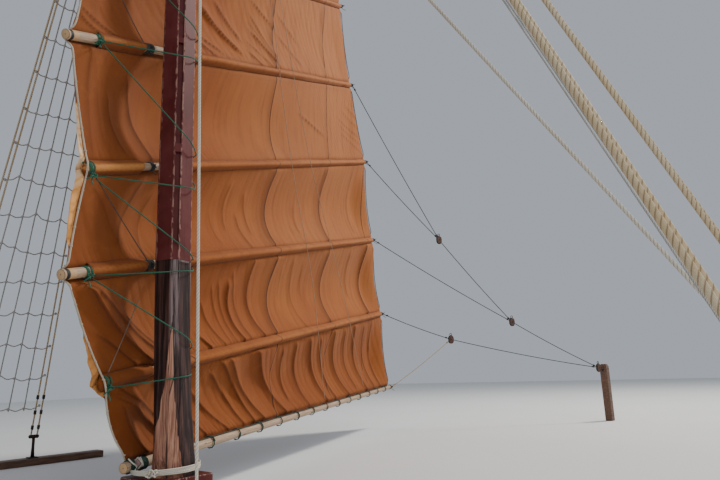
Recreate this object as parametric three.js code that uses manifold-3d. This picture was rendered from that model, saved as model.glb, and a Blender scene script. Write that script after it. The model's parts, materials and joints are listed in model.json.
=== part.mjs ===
// Main mast of a wooden junk with its battened lugsail, spars, shrouds and sheets.
// Millimetres, +Z up. The origin is the middle of the mast's foot, at the deck.
// +X points aft along the ship, +Y to the side that the sail is set on.
import * as THREE from 'three';
import { mergeVertices } from 'three/addons/utils/BufferGeometryUtils.js';
import Module from 'manifold-3d';

const wasm = await Module();
wasm.setup();

// Driving dimensions
const TOUCH_GAP = 0.4;
const ROPE_SIDES = 8;
const POLE_SIDES = 12;
const MAST_SIDES = 24;

const mast = {
  footReach: 215,
  flareTop: 900,
  sheathBottom: 2430,
  sheathTop: 10400,
  sheathHalf: 147,
  sheathTopHalf: 132,
  cornerCut: 53,
  sheathReach: 188,
  faceTurn: -69.5,
  flareToward: -48,
  footLean: 66,
  headFootRadius: 128,
  headRadius: 118,
  top: 12950,
};
// Height, half width across the flats, corner cut and sideways lean of the hewn lower mast, whose
// foot flares more on one side
const lowerSections = [
  { up: 0, half: 195, cut: 106, lean: mast.footLean },
  { up: 385, half: 195, cut: 106, lean: mast.footLean },
  { up: 620, half: 178, cut: 96, lean: 58 },
  { up: 900, half: 165, cut: 84, lean: 44 },
  { up: 1600, half: 153, cut: 66, lean: 14 },
  { up: 2430, half: 149, cut: 54, lean: 0 },
];
// Lower and upper end of each slot down the mast's cut corners
const slots = [
  { low: 2587, high: 3559 },
  { low: 3654, high: 4800 },
  { low: 4860, high: 5960 },
  { low: 6030, high: 7110 },
  { low: 7180, high: 8240 },
  { low: 8310, high: 9350 },
];
const slotWidth = 52;
const slotDepth = 36;
const box = { side: 640, height: 385, cornerCut: 30, holeGap: 2 };
const cap = { tall: 70, footRadius: 150, topRadius: 120 };
const hounds = { height: 12300, radius: 146, tall: 120, thick: 24, spread: 55, ropeGap: 6 };
const rig = {
  halfBeam: 5400,
  foreFoot: -650,
  aftFoot: 780,
  guyFoot: 1650,
  guyTopAft: 16,
  guyHeight: 8800,
  guyRadius: 17,
  ropeRadius: 19,
  pairGap: 95,
  eyeRise: 330,
  barRadius: 26,
  yokeSide: 60,
  channelFront: -900,
  channelBack: 1900,
  channelWide: 260,
  channelTall: 110,
};
const sail = {
  swing: 24,
  offset: 300,
  thick: 10,
  luffHollow: 90,
  leechHollow: 70,
  columns: 14,
  rows: 6,
  edgeGap: 4,
  sparRunOut: 90,
};
// The belly of the cloth: its depth ahead and aft in each panel from the boom up, the shares of a panel's
// length where it changes, fills behind the luff and closes at the leech, and its skew down the panel
const belly = {
  depths: [
    { fore: 200, aft: 250 },
    { fore: 240, aft: 280 },
    { fore: 280, aft: 260 },
    { fore: 260, aft: 40 },
    { fore: 170, aft: 80 },
    { fore: 200, aft: 120 },
    { fore: 200, aft: 140 },
  ],
  changeFrom: 0.25,
  changeTo: 0.75,
  luffStart: -0.03,
  luffFull: 0.16,
  leechFull: 0.93,
  leechClosing: 0.85,
  skew: 0.85,
  power: 1.15,
};
const parrel = { clearance: 26, ropeRadius: 8, arcSteps: 8, steps: 30, luffInset: 120, farthestFore: -780,
  runAft: 60, startClear: 1.05 };
// The halyard: its fixed lead block and deck eye, and the collar, blocks and rope parts over the yard
const fall = { leadX: 10, leadY: -235, leadUp: 11200, leadArm: 90, footX: -90, footY: -647, footUp: 150,
  radius: 16 };
const leadBlock = { side: 80, tall: 170, bandRadius: 150, bandTall: 90, armAft: 6, armRadius: 22,
  armOverlap: 20, ropeGap: 3 };
const deckEye = { plateSide: 180, plateThick: 16, sunk: 6, footRadius: 26, topRadius: 22, ropeGap: 6 };
const collar = { low: 11600, high: 11690, inner: 131, outer: 158 };
const collarLug = { long: 110, wide: 150, tall: 80, aft: 90, across: 215 };
const hoistGear = { upperX: 120, upperY: 240, upperLong: 130, hangGap: 10, lowerY: 270, lowerRise: 260,
  lowerLong: 120, lowerLead: 10, blockTall: 200, blockThick: 90, slingAft: 550, partGap: 64, partRadius: 15,
  strapGap: 6 };
// The sheets' blocks in the sail's own frame, and the post on the centreline that they lead to
const sheetBlocks = {
  upper: [8331, -1200, 4154],
  middle: [9195, -2596, 2261],
  lower: [9056, -1196, 1931],
  post: [9946, -4362, 1170],
};
const sheetGear = { radius: 9, wide: 110, thick: 60, tall: 170, standOff: 150, endRunOut: 60, endGap: 12 };
const sheetPost = { aft: 11040, side: 160, shoulder: 1170, top: 1250, topSide: 110, eyeUp: 1120, eyeReach: 62,
  eyeRadius: 14 };

// Spars of the sail, from the boom up: luff end and leech end as distance aft of the mast and height
const spars = [
  { name: 'boom', luffAft: -240, luffUp: 475, leechAft: 8880, leechUp: 900, fore: 10, radius: 52, tip: 40 },
  { name: 'batten_1', luffAft: -560, luffUp: 1260, leechAft: 8450, leechUp: 2570, fore: 40, radius: 42, tip: 30 },
  { name: 'batten_2', luffAft: -1090, luffUp: 2180, leechAft: 8000, leechUp: 4240, fore: 60, radius: 48, tip: 30 },
  { name: 'batten_3', luffAft: -920, luffUp: 3190, leechAft: 7650, leechUp: 6030, fore: 40, radius: 42, tip: 30 },
  { name: 'batten_4', luffAft: -1230, luffUp: 4370, leechAft: 6790, leechUp: 7570, fore: 60, radius: 48, tip: 30 },
  { name: 'batten_5', luffAft: -1250, luffUp: 5550, leechAft: 6280, leechUp: 9240, fore: 60, radius: 44, tip: 30 },
  { name: 'batten_6', luffAft: -1100, luffUp: 6750, leechAft: 5450, leechUp: 10900, fore: 60, radius: 44, tip: 30 },
  { name: 'yard', luffAft: -900, luffUp: 7950, leechAft: 4300, leechUp: 12450, fore: 220, radius: 72, tip: 46 },
];

const paint = {
  maroon: new THREE.MeshStandardMaterial({ color: 0x6a2c2c, roughness: 0.55, metalness: 0 }),
  darkWood: new THREE.MeshStandardMaterial({ color: 0x3a2420, roughness: 0.5, metalness: 0 }),
  paleWood: new THREE.MeshStandardMaterial({ color: 0xc9ab88, roughness: 0.7, metalness: 0 }),
  canvas: new THREE.MeshStandardMaterial({ color: 0xa8663c, roughness: 0.9, metalness: 0 }),
  greenRope: new THREE.MeshStandardMaterial({ color: 0x1f6148, roughness: 0.8, metalness: 0 }),
  whiteRope: new THREE.MeshStandardMaterial({ color: 0xded6c4, roughness: 0.85, metalness: 0 }),
  goldRope: new THREE.MeshStandardMaterial({ color: 0xd8b480, roughness: 0.85, metalness: 0 }),
  darkRope: new THREE.MeshStandardMaterial({ color: 0x33332f, roughness: 0.85, metalness: 0 }),
  iron: new THREE.MeshStandardMaterial({ color: 0x2a2a2c, roughness: 0.6, metalness: 0.8 }),
};

const fixed = new THREE.Group();
const swinging = new THREE.Group();
swinging.rotation.z = THREE.MathUtils.degToRad(sail.swing);
const whole = new THREE.Group();
whole.add(fixed, swinging);

function add(group, name, geometry, material) {
  const mesh = new THREE.Mesh(geometry, material);
  mesh.name = name;
  group.add(mesh);
}

const at = (x, y, z) => new THREE.Vector3(x, y, z);

// A straight round pole between two points, tapering from one radius to the other
function pole(from, to, fromRadius, toRadius, sides = POLE_SIDES) {
  const run = to.clone().sub(from);
  const geometry = new THREE.CylinderGeometry(toRadius, fromRadius, run.length(), sides);
  const turn = new THREE.Quaternion().setFromUnitVectors(at(0, 1, 0), run.clone().normalize());
  geometry.applyQuaternion(turn);
  const middle = from.clone().add(to).multiplyScalar(0.5);
  geometry.translate(middle.x, middle.y, middle.z);
  return geometry;
}

// A rope through a list of points, with a many-sided section
function rope(points, radius, steps, sides = ROPE_SIDES) {
  const section = new THREE.Shape();
  for (let side = 0; side < sides; side += 1) {
    const turn = (side / sides) * 2 * Math.PI;
    const x = radius * Math.cos(turn);
    const y = radius * Math.sin(turn);
    if (side === 0) section.moveTo(x, y);
    else section.lineTo(x, y);
  }
  section.closePath();
  const path = new THREE.CatmullRomCurve3(points, false, 'centripetal');
  return new THREE.ExtrudeGeometry(section, { steps, extrudePath: path, bevelEnabled: false });
}

// A ring about the mast's axis: outer and inner radius, from one height to another
function ring(inner, outer, low, high, sides = MAST_SIDES) {
  const profile = [
    new THREE.Vector2(inner, low),
    new THREE.Vector2(outer, low),
    new THREE.Vector2(outer, high),
    new THREE.Vector2(inner, high),
    new THREE.Vector2(inner, low),
  ];
  const geometry = new THREE.LatheGeometry(profile, sides);
  geometry.rotateX(Math.PI / 2);
  return geometry;
}

function block(width, depth, height, x, y, z) {
  const geometry = new THREE.BoxGeometry(width, depth, height);
  geometry.translate(x, y, z);
  return geometry;
}

function solid(geometry) {
  const bare = geometry.clone();
  bare.deleteAttribute('normal');
  bare.deleteAttribute('uv');
  const merged = mergeVertices(bare, 0.01);
  return new wasm.Manifold(new wasm.Mesh({
    numProp: 3,
    vertProperties: new Float32Array(merged.attributes.position.array),
    triVerts: new Uint32Array(merged.index.array),
  }));
}

function surface(body) {
  const mesh = body.getMesh();
  const geometry = new THREE.BufferGeometry();
  geometry.setAttribute('position', new THREE.BufferAttribute(new Float32Array(mesh.vertProperties), 3));
  geometry.setIndex(new THREE.BufferAttribute(new Uint32Array(mesh.triVerts), 1));
  return geometry;
}

const joined = (...geometries) => surface(geometries.map(solid).reduce((whole, piece) => whole.add(piece)));

const leanBy = (lean) => at(lean, 0, 0).applyAxisAngle(at(0, 0, 1), THREE.MathUtils.degToRad(mast.flareToward));

// The eight corners of a square section with its corners cut, turned as the mast stands
function cutSquare(half, cut, up, lean = 0) {
  const inner = half - cut;
  const corners = [
    [half, -inner], [half, inner], [inner, half], [-inner, half],
    [-half, inner], [-half, -inner], [-inner, -half], [inner, -half],
  ];
  const turn = THREE.MathUtils.degToRad(mast.faceTurn);
  return corners.map(([x, y]) => at(x, y, up).applyAxisAngle(at(0, 0, 1), turn).add(leanBy(lean)));
}

// A closed solid through a stack of sections that have the same number of corners
function loft(sections) {
  const corners = sections[0].length;
  const positions = sections.flat().flatMap((point) => [point.x, point.y, point.z]);
  const triangles = [];
  for (let level = 0; level + 1 < sections.length; level += 1) {
    for (let corner = 0; corner < corners; corner += 1) {
      const next = (corner + 1) % corners;
      const here = level * corners;
      const above = here + corners;
      triangles.push(here + corner, here + next, above + next, here + corner, above + next, above + corner);
    }
  }
  const last = (sections.length - 1) * corners;
  for (let corner = 1; corner + 1 < corners; corner += 1) {
    triangles.push(0, corner + 1, corner, last, last + corner, last + corner + 1);
  }
  const geometry = new THREE.BufferGeometry();
  geometry.setAttribute('position', new THREE.Float32BufferAttribute(positions, 3));
  geometry.setIndex(triangles);
  return geometry;
}

function mastLower() {
  const sections = lowerSections.map(({ up, half, cut, lean }) => {
    const level = Math.min(up, mast.sheathBottom - TOUCH_GAP);
    return cutSquare(half, cut, level, lean);
  });
  return loft(sections);
}

// The painted upper mast: a square with cut corners, and long slots down each cut corner
function mastSheath() {
  const tall = mast.sheathTop - mast.sheathBottom;
  const shaft = loft([
    cutSquare(mast.sheathHalf, mast.cornerCut, mast.sheathBottom),
    cutSquare(mast.sheathTopHalf, mast.cornerCut, mast.sheathTop),
  ]);
  let body = solid(shaft);
  for (const { low, high } of slots) {
    const middle = (low + high) / 2;
    const share = (middle - mast.sheathBottom) / tall;
    const half = mast.sheathHalf + share * (mast.sheathTopHalf - mast.sheathHalf);
    const face = (2 * half - mast.cornerCut) / Math.SQRT2;
    for (let corner = 0; corner < 4; corner += 1) {
      const cut = new THREE.BoxGeometry(slotDepth * 2, slotWidth, high - low);
      cut.translate(face, 0, middle);
      cut.rotateZ(THREE.MathUtils.degToRad(mast.faceTurn + 45 + corner * 90));
      body = body.subtract(solid(cut));
    }
  }
  return surface(body);
}

function mastBox() {
  const half = box.side / 2;
  const cut = box.cornerCut;
  const outline = new THREE.Shape();
  outline.moveTo(-half + cut, -half);
  outline.lineTo(half - cut, -half);
  outline.lineTo(half, -half + cut);
  outline.lineTo(half, half - cut);
  outline.lineTo(half - cut, half);
  outline.lineTo(-half + cut, half);
  outline.lineTo(-half, half - cut);
  outline.lineTo(-half, -half + cut);
  outline.closePath();
  const hole = new THREE.Path();
  const centre = leanBy(mast.footLean);
  hole.absarc(centre.x, centre.y, mast.footReach + box.holeGap, 0, 2 * Math.PI, true);
  outline.holes.push(hole);
  return new THREE.ExtrudeGeometry(outline, { depth: box.height, bevelEnabled: false, curveSegments: MAST_SIDES });
}

function fixedPieces() {
  add(fixed, 'mast_lower', mastLower(), paint.darkWood);
  add(fixed, 'mast_box', mastBox(), paint.maroon);
  add(fixed, 'mast_sheath', mastSheath(), paint.maroon);
  const headFoot = mast.sheathTop + TOUCH_GAP;
  add(fixed, 'mast_head', pole(at(0, 0, headFoot), at(0, 0, mast.top), mast.headFootRadius,
    mast.headRadius, MAST_SIDES), paint.darkWood);
  add(fixed, 'mast_cap', pole(at(0, 0, mast.top + TOUCH_GAP), at(0, 0, mast.top + cap.tall), cap.footRadius,
    cap.topRadius, MAST_SIDES), paint.maroon);
  add(fixed, 'hounds_band', ring(hounds.radius - hounds.thick, hounds.radius, hounds.height - hounds.tall / 2,
    hounds.height + hounds.tall / 2), paint.iron);
}

// Each shroud is a pair of ropes from the hounds to an iron eye on its channel plank
function shroud(side, foot) {
  const top = at(Math.sign(foot) * hounds.spread, side * (hounds.radius + rig.ropeRadius * 2 + hounds.ropeGap),
    hounds.height);
  const eyeHeight = rig.channelTall + rig.eyeRise;
  const low = at(foot, side * rig.halfBeam, eyeHeight);
  const share = at(rig.pairGap / 2, 0, 0);
  const left = pole(low.clone().sub(share), top, rig.ropeRadius, rig.ropeRadius, ROPE_SIDES);
  const right = pole(low.clone().add(share), top, rig.ropeRadius, rig.ropeRadius, ROPE_SIDES);
  const eye = at(foot, side * rig.halfBeam, rig.channelTall + TOUCH_GAP);
  const bar = pole(eye, at(foot, side * rig.halfBeam, eyeHeight), rig.barRadius, rig.barRadius, ROPE_SIDES);
  const yoke = block(rig.pairGap + rig.yokeSide, rig.yokeSide, rig.yokeSide, foot, side * rig.halfBeam, eyeHeight);
  return joined(left, right, bar, yoke);
}

function rigging() {
  const sides = [
    { name: 'port', side: -1 },
    { name: 'starboard', side: 1 },
  ];
  const feet = [
    { name: 'fore', foot: rig.foreFoot },
    { name: 'aft', foot: rig.aftFoot },
  ];
  for (const { name, side } of sides) {
    const long = rig.channelBack - rig.channelFront;
    const middle = (rig.channelFront + rig.channelBack) / 2;
    add(fixed, `${name}_channel`, block(long, rig.channelWide, rig.channelTall, middle, side * rig.halfBeam,
      rig.channelTall / 2), paint.darkWood);
    for (const { name: place, foot } of feet) {
      add(fixed, `${name}_shroud_${place}`, shroud(side, foot), paint.goldRope);
    }
  }
  const guyTop = at(rig.guyTopAft, -mast.sheathReach, rig.guyHeight);
  const guyLow = at(rig.guyFoot, -rig.halfBeam, rig.channelTall + rig.guyRadius * 2);
  add(fixed, 'port_guy', pole(guyLow, guyTop, rig.guyRadius, rig.guyRadius, ROPE_SIDES), paint.whiteRope);
}

function halyard() {
  const lead = at(fall.leadX, fall.leadY, fall.leadUp);
  const foot = at(fall.footX, fall.footY, fall.footUp);
  const { side, tall, bandRadius, bandTall, armAft, armRadius, armOverlap, ropeGap } = leadBlock;
  const sheaveBlock = block(side, side, tall, lead.x, lead.y, lead.z);
  const band = ring(collar.inner, bandRadius, lead.z - bandTall / 2, lead.z + bandTall / 2);
  const arm = pole(at(armAft, lead.y + fall.leadArm, lead.z), at(lead.x, lead.y + armOverlap, lead.z), armRadius,
    armRadius, ROPE_SIDES);
  add(fixed, 'halyard_lead_block', joined(sheaveBlock, band, arm), paint.iron);
  const fallTop = at(lead.x, lead.y, lead.z - tall / 2 - ropeGap);
  add(fixed, 'halyard_fall', pole(foot, fallTop, fall.radius, fall.radius, ROPE_SIDES), paint.whiteRope);
  const { plateSide, plateThick } = deckEye;
  const plate = block(plateSide, plateSide, plateThick, foot.x, foot.y, plateThick / 2);
  const eyeLow = at(foot.x, foot.y, plateThick - deckEye.sunk);
  const eyeTop = at(foot.x, foot.y, foot.z - fall.radius - deckEye.ropeGap);
  const eye = pole(eyeLow, eyeTop, deckEye.footRadius, deckEye.topRadius);
  add(fixed, 'halyard_deck_eye', joined(plate, eye), paint.iron);
}

// Point on a spar's centre line at a share of the way from luff to leech
function sparPoint(spar, share) {
  const aft = spar.luffAft + share * (spar.leechAft - spar.luffAft);
  const up = spar.luffUp + share * (spar.leechUp - spar.luffUp);
  return at(aft, sail.offset, up);
}

function sparPieces() {
  for (const spar of spars) {
    const run = sparPoint(spar, 1).sub(sparPoint(spar, 0)).normalize();
    const luff = sparPoint(spar, 0).sub(run.clone().multiplyScalar(spar.fore));
    const leech = sparPoint(spar, 1).add(run.clone().multiplyScalar(sail.sparRunOut));
    add(swinging, spar.name, pole(luff, leech, spar.radius, spar.tip), paint.paleWood);
  }
}

// Upright distance from a sloping spar's centre line to the edge of the cloth beside it
function clearOf(spar) {
  const slope = Math.atan2(spar.leechUp - spar.luffUp, spar.leechAft - spar.luffAft);
  return (spar.radius + sail.edgeGap) / Math.cos(slope);
}

// How deep a panel's belly is at a share of its length, at its deepest height
function bellyDepth({ fore, aft }, along) {
  const { lerp, smoothstep } = THREE.MathUtils;
  const depth = lerp(fore, aft, smoothstep(along, belly.changeFrom, belly.changeTo));
  const filling = smoothstep(along, belly.luffStart, belly.luffFull);
  const closing = 1 - belly.leechClosing * smoothstep(along, belly.leechFull, 1);
  return depth * filling * closing;
}

// One panel of cloth between two spars: straight along the spars, bellied and hollowed between them
function sailPanel(lower, upper, depths) {
  const { columns, rows } = sail;
  const positions = [];
  const front = (row, column) => row * (columns + 1) + column;
  const back = (row, column) => (rows + 1) * (columns + 1) + front(row, column);
  for (const face of [-0.5, 0.5]) {
    for (let row = 0; row <= rows; row += 1) {
      for (let column = 0; column <= columns; column += 1) {
        const along = column / columns;
        const rise = row / rows;
        const low = sparPoint(lower, along);
        const high = sparPoint(upper, along);
        low.z += clearOf(lower);
        high.z -= clearOf(upper);
        const point = low.lerp(high, rise);
        const bow = Math.abs(Math.sin(Math.PI * rise ** belly.skew)) ** belly.power;
        const aftHollow = (1 - along) ** 3 * sail.luffHollow - along ** 3 * sail.leechHollow;
        point.x += bow * aftHollow;
        point.y += bow * bellyDepth(depths, along) + face * sail.thick;
        positions.push(point.x, point.y, point.z);
      }
    }
  }
  const triangles = [];
  const quad = (a, b, c, d) => triangles.push(a, b, c, a, c, d);
  for (let row = 0; row < rows; row += 1) {
    for (let column = 0; column < columns; column += 1) {
      quad(front(row, column), front(row, column + 1), front(row + 1, column + 1), front(row + 1, column));
      quad(back(row, column), back(row + 1, column), back(row + 1, column + 1), back(row, column + 1));
    }
    quad(front(row, 0), front(row + 1, 0), back(row + 1, 0), back(row, 0));
    quad(front(row, columns), back(row, columns), back(row + 1, columns), front(row + 1, columns));
  }
  for (let column = 0; column < columns; column += 1) {
    quad(front(0, column), back(0, column), back(0, column + 1), front(0, column + 1));
    quad(front(rows, column), front(rows, column + 1), back(rows, column + 1), back(rows, column));
  }
  const geometry = new THREE.BufferGeometry();
  geometry.setAttribute('position', new THREE.Float32BufferAttribute(positions, 3));
  geometry.setIndex(triangles);
  return geometry;
}

function panels() {
  for (let index = 0; index + 1 < spars.length; index += 1) {
    const panel = sailPanel(spars[index], spars[index + 1], belly.depths[index]);
    add(swinging, `sail_panel_${index + 1}`, panel, paint.canvas);
  }
}

// Green ropes that hold each spar to the mast: off the spar, round the mast and back
function parrels() {
  const { ropeRadius, arcSteps } = parrel;
  for (const spar of spars) {
    const share = (aft) => (aft - spar.luffAft) / (spar.leechAft - spar.luffAft);
    const rise = (aft) => sparPoint(spar, share(aft)).z;
    const mastRadius = spar.luffUp < mast.flareTop ? mast.footReach + mast.footLean : mast.sheathReach;
    const reach = mastRadius + parrel.clearance + ropeRadius;
    const across = sail.offset - spar.radius - ropeRadius - sail.edgeGap;
    const nearLuff = Math.max(spar.luffAft + parrel.luffInset, parrel.farthestFore);
    const clearFore = Math.sqrt(Math.max(0, (reach * parrel.startClear) ** 2 - across ** 2));
    const startAft = Math.min(nearLuff, -clearFore);
    const endAft = reach + parrel.runAft;
    const tangent = (aft) => Math.acos(reach / Math.hypot(aft, across));
    const startAngle = Math.atan2(across, startAft) + tangent(startAft);
    const endAngle = 2 * Math.PI + Math.atan2(across, endAft) - tangent(endAft);
    const points = [at(startAft, across, rise(startAft))];
    for (let step = 0; step <= arcSteps; step += 1) {
      const angle = startAngle + (step / arcSteps) * (endAngle - startAngle);
      const aft = reach * Math.cos(angle);
      const level = spar.name === 'yard' ? rise(startAft) : rise(aft);
      points.push(at(aft, reach * Math.sin(angle), level));
    }
    points.push(at(endAft, across, rise(endAft)));
    add(swinging, `parrel_${spar.name}`, rope(points, ropeRadius, parrel.steps), paint.greenRope);
  }
}

// The collar, two blocks and two rope parts that carry the yard, and the yard's sling
function hoist() {
  const gear = hoistGear;
  const yard = spars[spars.length - 1];
  const sling = sparPoint(yard, (gear.slingAft - yard.luffAft) / (yard.leechAft - yard.luffAft));
  const { long, wide, tall, aft, across } = collarLug;
  const lug = block(long, wide, tall, aft, across, (collar.low + collar.high) / 2);
  add(swinging, 'halyard_collar', joined(ring(collar.inner, collar.outer, collar.low, collar.high), lug),
    paint.iron);
  const upper = at(gear.upperX, gear.upperY, collar.low - gear.hangGap - gear.blockTall / 2);
  const lower = at(sling.x - gear.lowerLead, gear.lowerY, sling.z + gear.lowerRise);
  add(swinging, 'halyard_upper_block', block(gear.upperLong, gear.blockThick, gear.blockTall, upper.x, upper.y,
    upper.z), paint.darkWood);
  add(swinging, 'yard_block', block(gear.lowerLong, gear.blockThick, gear.blockTall, lower.x, lower.y, lower.z),
    paint.darkWood);
  const high = upper.z - gear.blockTall / 2 - gear.strapGap;
  const low = lower.z + gear.blockTall / 2 + gear.strapGap;
  [-1, 1].forEach((hand, index) => {
    const shift = hand * gear.partGap / 2;
    const foot = at(lower.x + shift, lower.y, low);
    const head = at(upper.x + shift, upper.y, high);
    add(swinging, `halyard_part_${index + 1}`, pole(foot, head, gear.partRadius, gear.partRadius, ROPE_SIDES),
      paint.whiteRope);
  });
  const slingTop = at(lower.x, lower.y, lower.z - gear.blockTall / 2 - 2 * gear.strapGap);
  const slingLow = at(sling.x, sail.offset, sling.z + clearOf(yard) + fall.radius);
  add(swinging, 'yard_sling', pole(slingTop, slingLow, fall.radius, fall.radius, ROPE_SIDES), paint.whiteRope);
}

// Sheets: thin lines from the leech ends of the spars, gathered in blocks, to the block on the post
function sheets() {
  const end = (name) => {
    const spar = spars.find((row) => row.name === name);
    return sparPoint(spar, 1).add(at(sheetGear.endRunOut, -spar.tip - sheetGear.endGap, 0));
  };
  const place = (name) => at(...sheetBlocks[name]);
  const lines = [
    { from: end('boom'), to: place('lower') },
    { from: end('batten_1'), to: place('lower') },
    { from: end('batten_2'), to: place('middle') },
    { from: end('batten_3'), to: place('upper') },
    { from: end('batten_4'), to: place('upper') },
    { from: place('upper'), to: place('middle'), fromBlock: true },
    { from: place('middle'), to: place('post'), fromBlock: true },
    { from: place('lower'), to: place('post'), fromBlock: true },
  ];
  const shortOf = (from, to) => to.clone().add(from.clone().sub(to).setLength(sheetGear.standOff));
  lines.forEach(({ from, to, fromBlock }, index) => {
    const start = fromBlock ? shortOf(to, from) : from;
    add(swinging, `sheet_${index + 1}`, pole(start, shortOf(from, to), sheetGear.radius, sheetGear.radius,
      ROPE_SIDES), paint.darkRope);
  });
  for (const name of Object.keys(sheetBlocks)) {
    const { x, y, z } = place(name);
    add(swinging, `sheet_block_${name}`, block(sheetGear.wide, sheetGear.thick, sheetGear.tall, x, y, z),
      paint.darkWood);
  }
}

// A timber post on the ship's centreline, with the iron eye that the sheets' last block hangs on
function postPieces() {
  const square = (side, up) => {
    const half = side / 2;
    return [[-1, -1], [1, -1], [1, 1], [-1, 1]].map(([x, y]) => at(sheetPost.aft + x * half, y * half, up));
  };
  add(fixed, 'sheet_post', loft([
    square(sheetPost.side, 0),
    square(sheetPost.side, sheetPost.shoulder),
    square(sheetPost.topSide, sheetPost.top),
  ]), paint.darkWood);
  const face = sheetPost.aft - sheetPost.side / 2 - TOUCH_GAP;
  add(fixed, 'sheet_post_eye', pole(at(face, 0, sheetPost.eyeUp), at(face - sheetPost.eyeReach, 0, sheetPost.eyeUp),
    sheetPost.eyeRadius, sheetPost.eyeRadius, POLE_SIDES), paint.iron);
}

fixedPieces();
rigging();
postPieces();
halyard();
sparPieces();
panels();
parrels();
hoist();
sheets();

whole.updateMatrixWorld(true);
export default whole;
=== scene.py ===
# Main mast of a wooden junk with its battened lugsail and rigging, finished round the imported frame.
# Metres and degrees, +Z up, +X aft along the ship, +Y to the side that the sail is set on.
import json
import math
from collections import namedtuple

import bpy
import numpy as np
from mathutils import Matrix


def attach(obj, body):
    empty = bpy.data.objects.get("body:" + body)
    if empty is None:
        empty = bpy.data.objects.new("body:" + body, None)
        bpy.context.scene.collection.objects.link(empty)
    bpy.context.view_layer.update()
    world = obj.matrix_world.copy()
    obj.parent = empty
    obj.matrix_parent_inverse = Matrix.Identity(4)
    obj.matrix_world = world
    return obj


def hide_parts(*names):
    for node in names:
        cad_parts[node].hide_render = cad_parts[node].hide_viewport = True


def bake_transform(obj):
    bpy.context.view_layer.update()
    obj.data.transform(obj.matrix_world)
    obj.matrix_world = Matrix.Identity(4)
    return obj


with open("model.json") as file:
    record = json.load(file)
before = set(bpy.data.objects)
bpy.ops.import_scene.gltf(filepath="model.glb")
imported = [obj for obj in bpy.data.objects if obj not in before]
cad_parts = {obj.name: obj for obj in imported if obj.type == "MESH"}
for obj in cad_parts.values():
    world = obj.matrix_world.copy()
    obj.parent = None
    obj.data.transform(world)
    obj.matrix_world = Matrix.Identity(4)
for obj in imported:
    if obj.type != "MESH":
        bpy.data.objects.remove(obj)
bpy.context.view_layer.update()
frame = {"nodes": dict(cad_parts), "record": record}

# Camera
EYE = (-3.256, -5.501, 1.27)
HEADING = 42.0
TILT = 12.2
ROLL = 2.1
LENS_MM = 30.5
SENSOR_MM = 36.0

# Light and floor. Each lamp's direction and height are in degrees from the place that it is aimed at
Lamp = namedtuple("Lamp", "name azimuth elevation distance size watts colour")
LAMPS = [
    Lamp("key", -18.0, 42.0, 26.0, 5.0, 6500.0, (1.0, 0.95, 0.88)),
    Lamp("fill", -110.0, 20.0, 26.0, 12.0, 1500.0, (0.95, 0.97, 1.0)),
]
LAMP_AIM = np.array([2.5, 1.0, 4.5])
SKY_COLOUR = (0.80, 0.87, 0.96, 1.0)
SKY_STRENGTH = 0.50
FLOOR_HALF = 45.0

# Sail
SWING = math.radians(24)
SAIL_ACROSS = 0.30
BELLY_SKEW = 0.85
BELLY_POWER = 1.15
LEECH_HOLLOW = 0.07
CLOTH_THICK = 0.003
CLOTH_GAP = 0.006
BEHIND_POLE = 0.10
FOLD_SKEW = 0.62
FOLD_MEAN = 0.62
CLOTH_WIDTH = 2.25
SEAM_AFT = 0.82
CREASE_FALL = 0.30
CREASE_WANDER = 0.012
FULL_CREASE = 0.030
# Creases' painted shade: groove width and shade before the crest; painted highlight: rim width and strength
GROOVE_WIDE = 0.009
GROOVE_SHADE = 0.70
RIM_WIDE = 0.022
RIM_LIGHT = 0.14
FLANGE_STEPS = 9
TACK_SHIFT = 0.12
HEM = 0.030

Spar = namedtuple("Spar", "name luff_aft luff_up leech_aft leech_up fore radius tip")
SPARS = [
    Spar("boom", -0.24, 0.475, 8.88, 0.90, 0.01, 0.052, 0.040),
    Spar("batten_1", -0.56, 1.26, 8.45, 2.57, 0.04, 0.042, 0.030),
    Spar("batten_2", -1.09, 2.18, 8.00, 4.24, 0.06, 0.048, 0.030),
    Spar("batten_3", -0.92, 3.19, 7.65, 6.03, 0.04, 0.042, 0.030),
    Spar("batten_4", -1.23, 4.37, 6.79, 7.57, 0.06, 0.048, 0.030),
    Spar("batten_5", -1.25, 5.55, 6.28, 9.24, 0.06, 0.044, 0.030),
    Spar("batten_6", -1.10, 6.75, 5.45, 10.90, 0.06, 0.044, 0.030),
    Spar("yard", -0.90, 7.95, 4.30, 12.45, 0.22, 0.072, 0.046),
]
SPAR_RUN_OUT = 0.09
POLE_SIDES = 20

# Black tape round a batten: how far it is from the fore end, and half its width
TAPE_IN = 0.035
TAPE_HALF = 0.012

# Rope: strands, the length in radii in which they wind round once, and the radius up to which a line is
# round, with its strands in its finish
STRANDS = 3
STRAND_PITCH = 7.0
THIN_ROPE = 0.012

# Each panel: grid size, hollow of its luff, how much painted light pales its loose edge outside the luff
# rope, and the depth of its belly ahead and aft
Panel = namedtuple("Panel", "columns rows luff_hollow pale belly_fore belly_aft")
PANELS = [
    Panel(520, 44, -0.060, 0.55, 0.20, 0.25),
    Panel(520, 52, -0.020, 0.55, 0.24, 0.28),
    Panel(480, 50, 0.00, 1.0, 0.28, 0.26),
    Panel(400, 44, 0.00, 1.8, 0.26, 0.04),
    Panel(340, 44, 0.11, 1.8, 0.17, 0.08),
    Panel(240, 32, 0.09, 1.8, 0.20, 0.12),
    Panel(200, 30, 0.09, 1.8, 0.20, 0.14),
]
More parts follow.
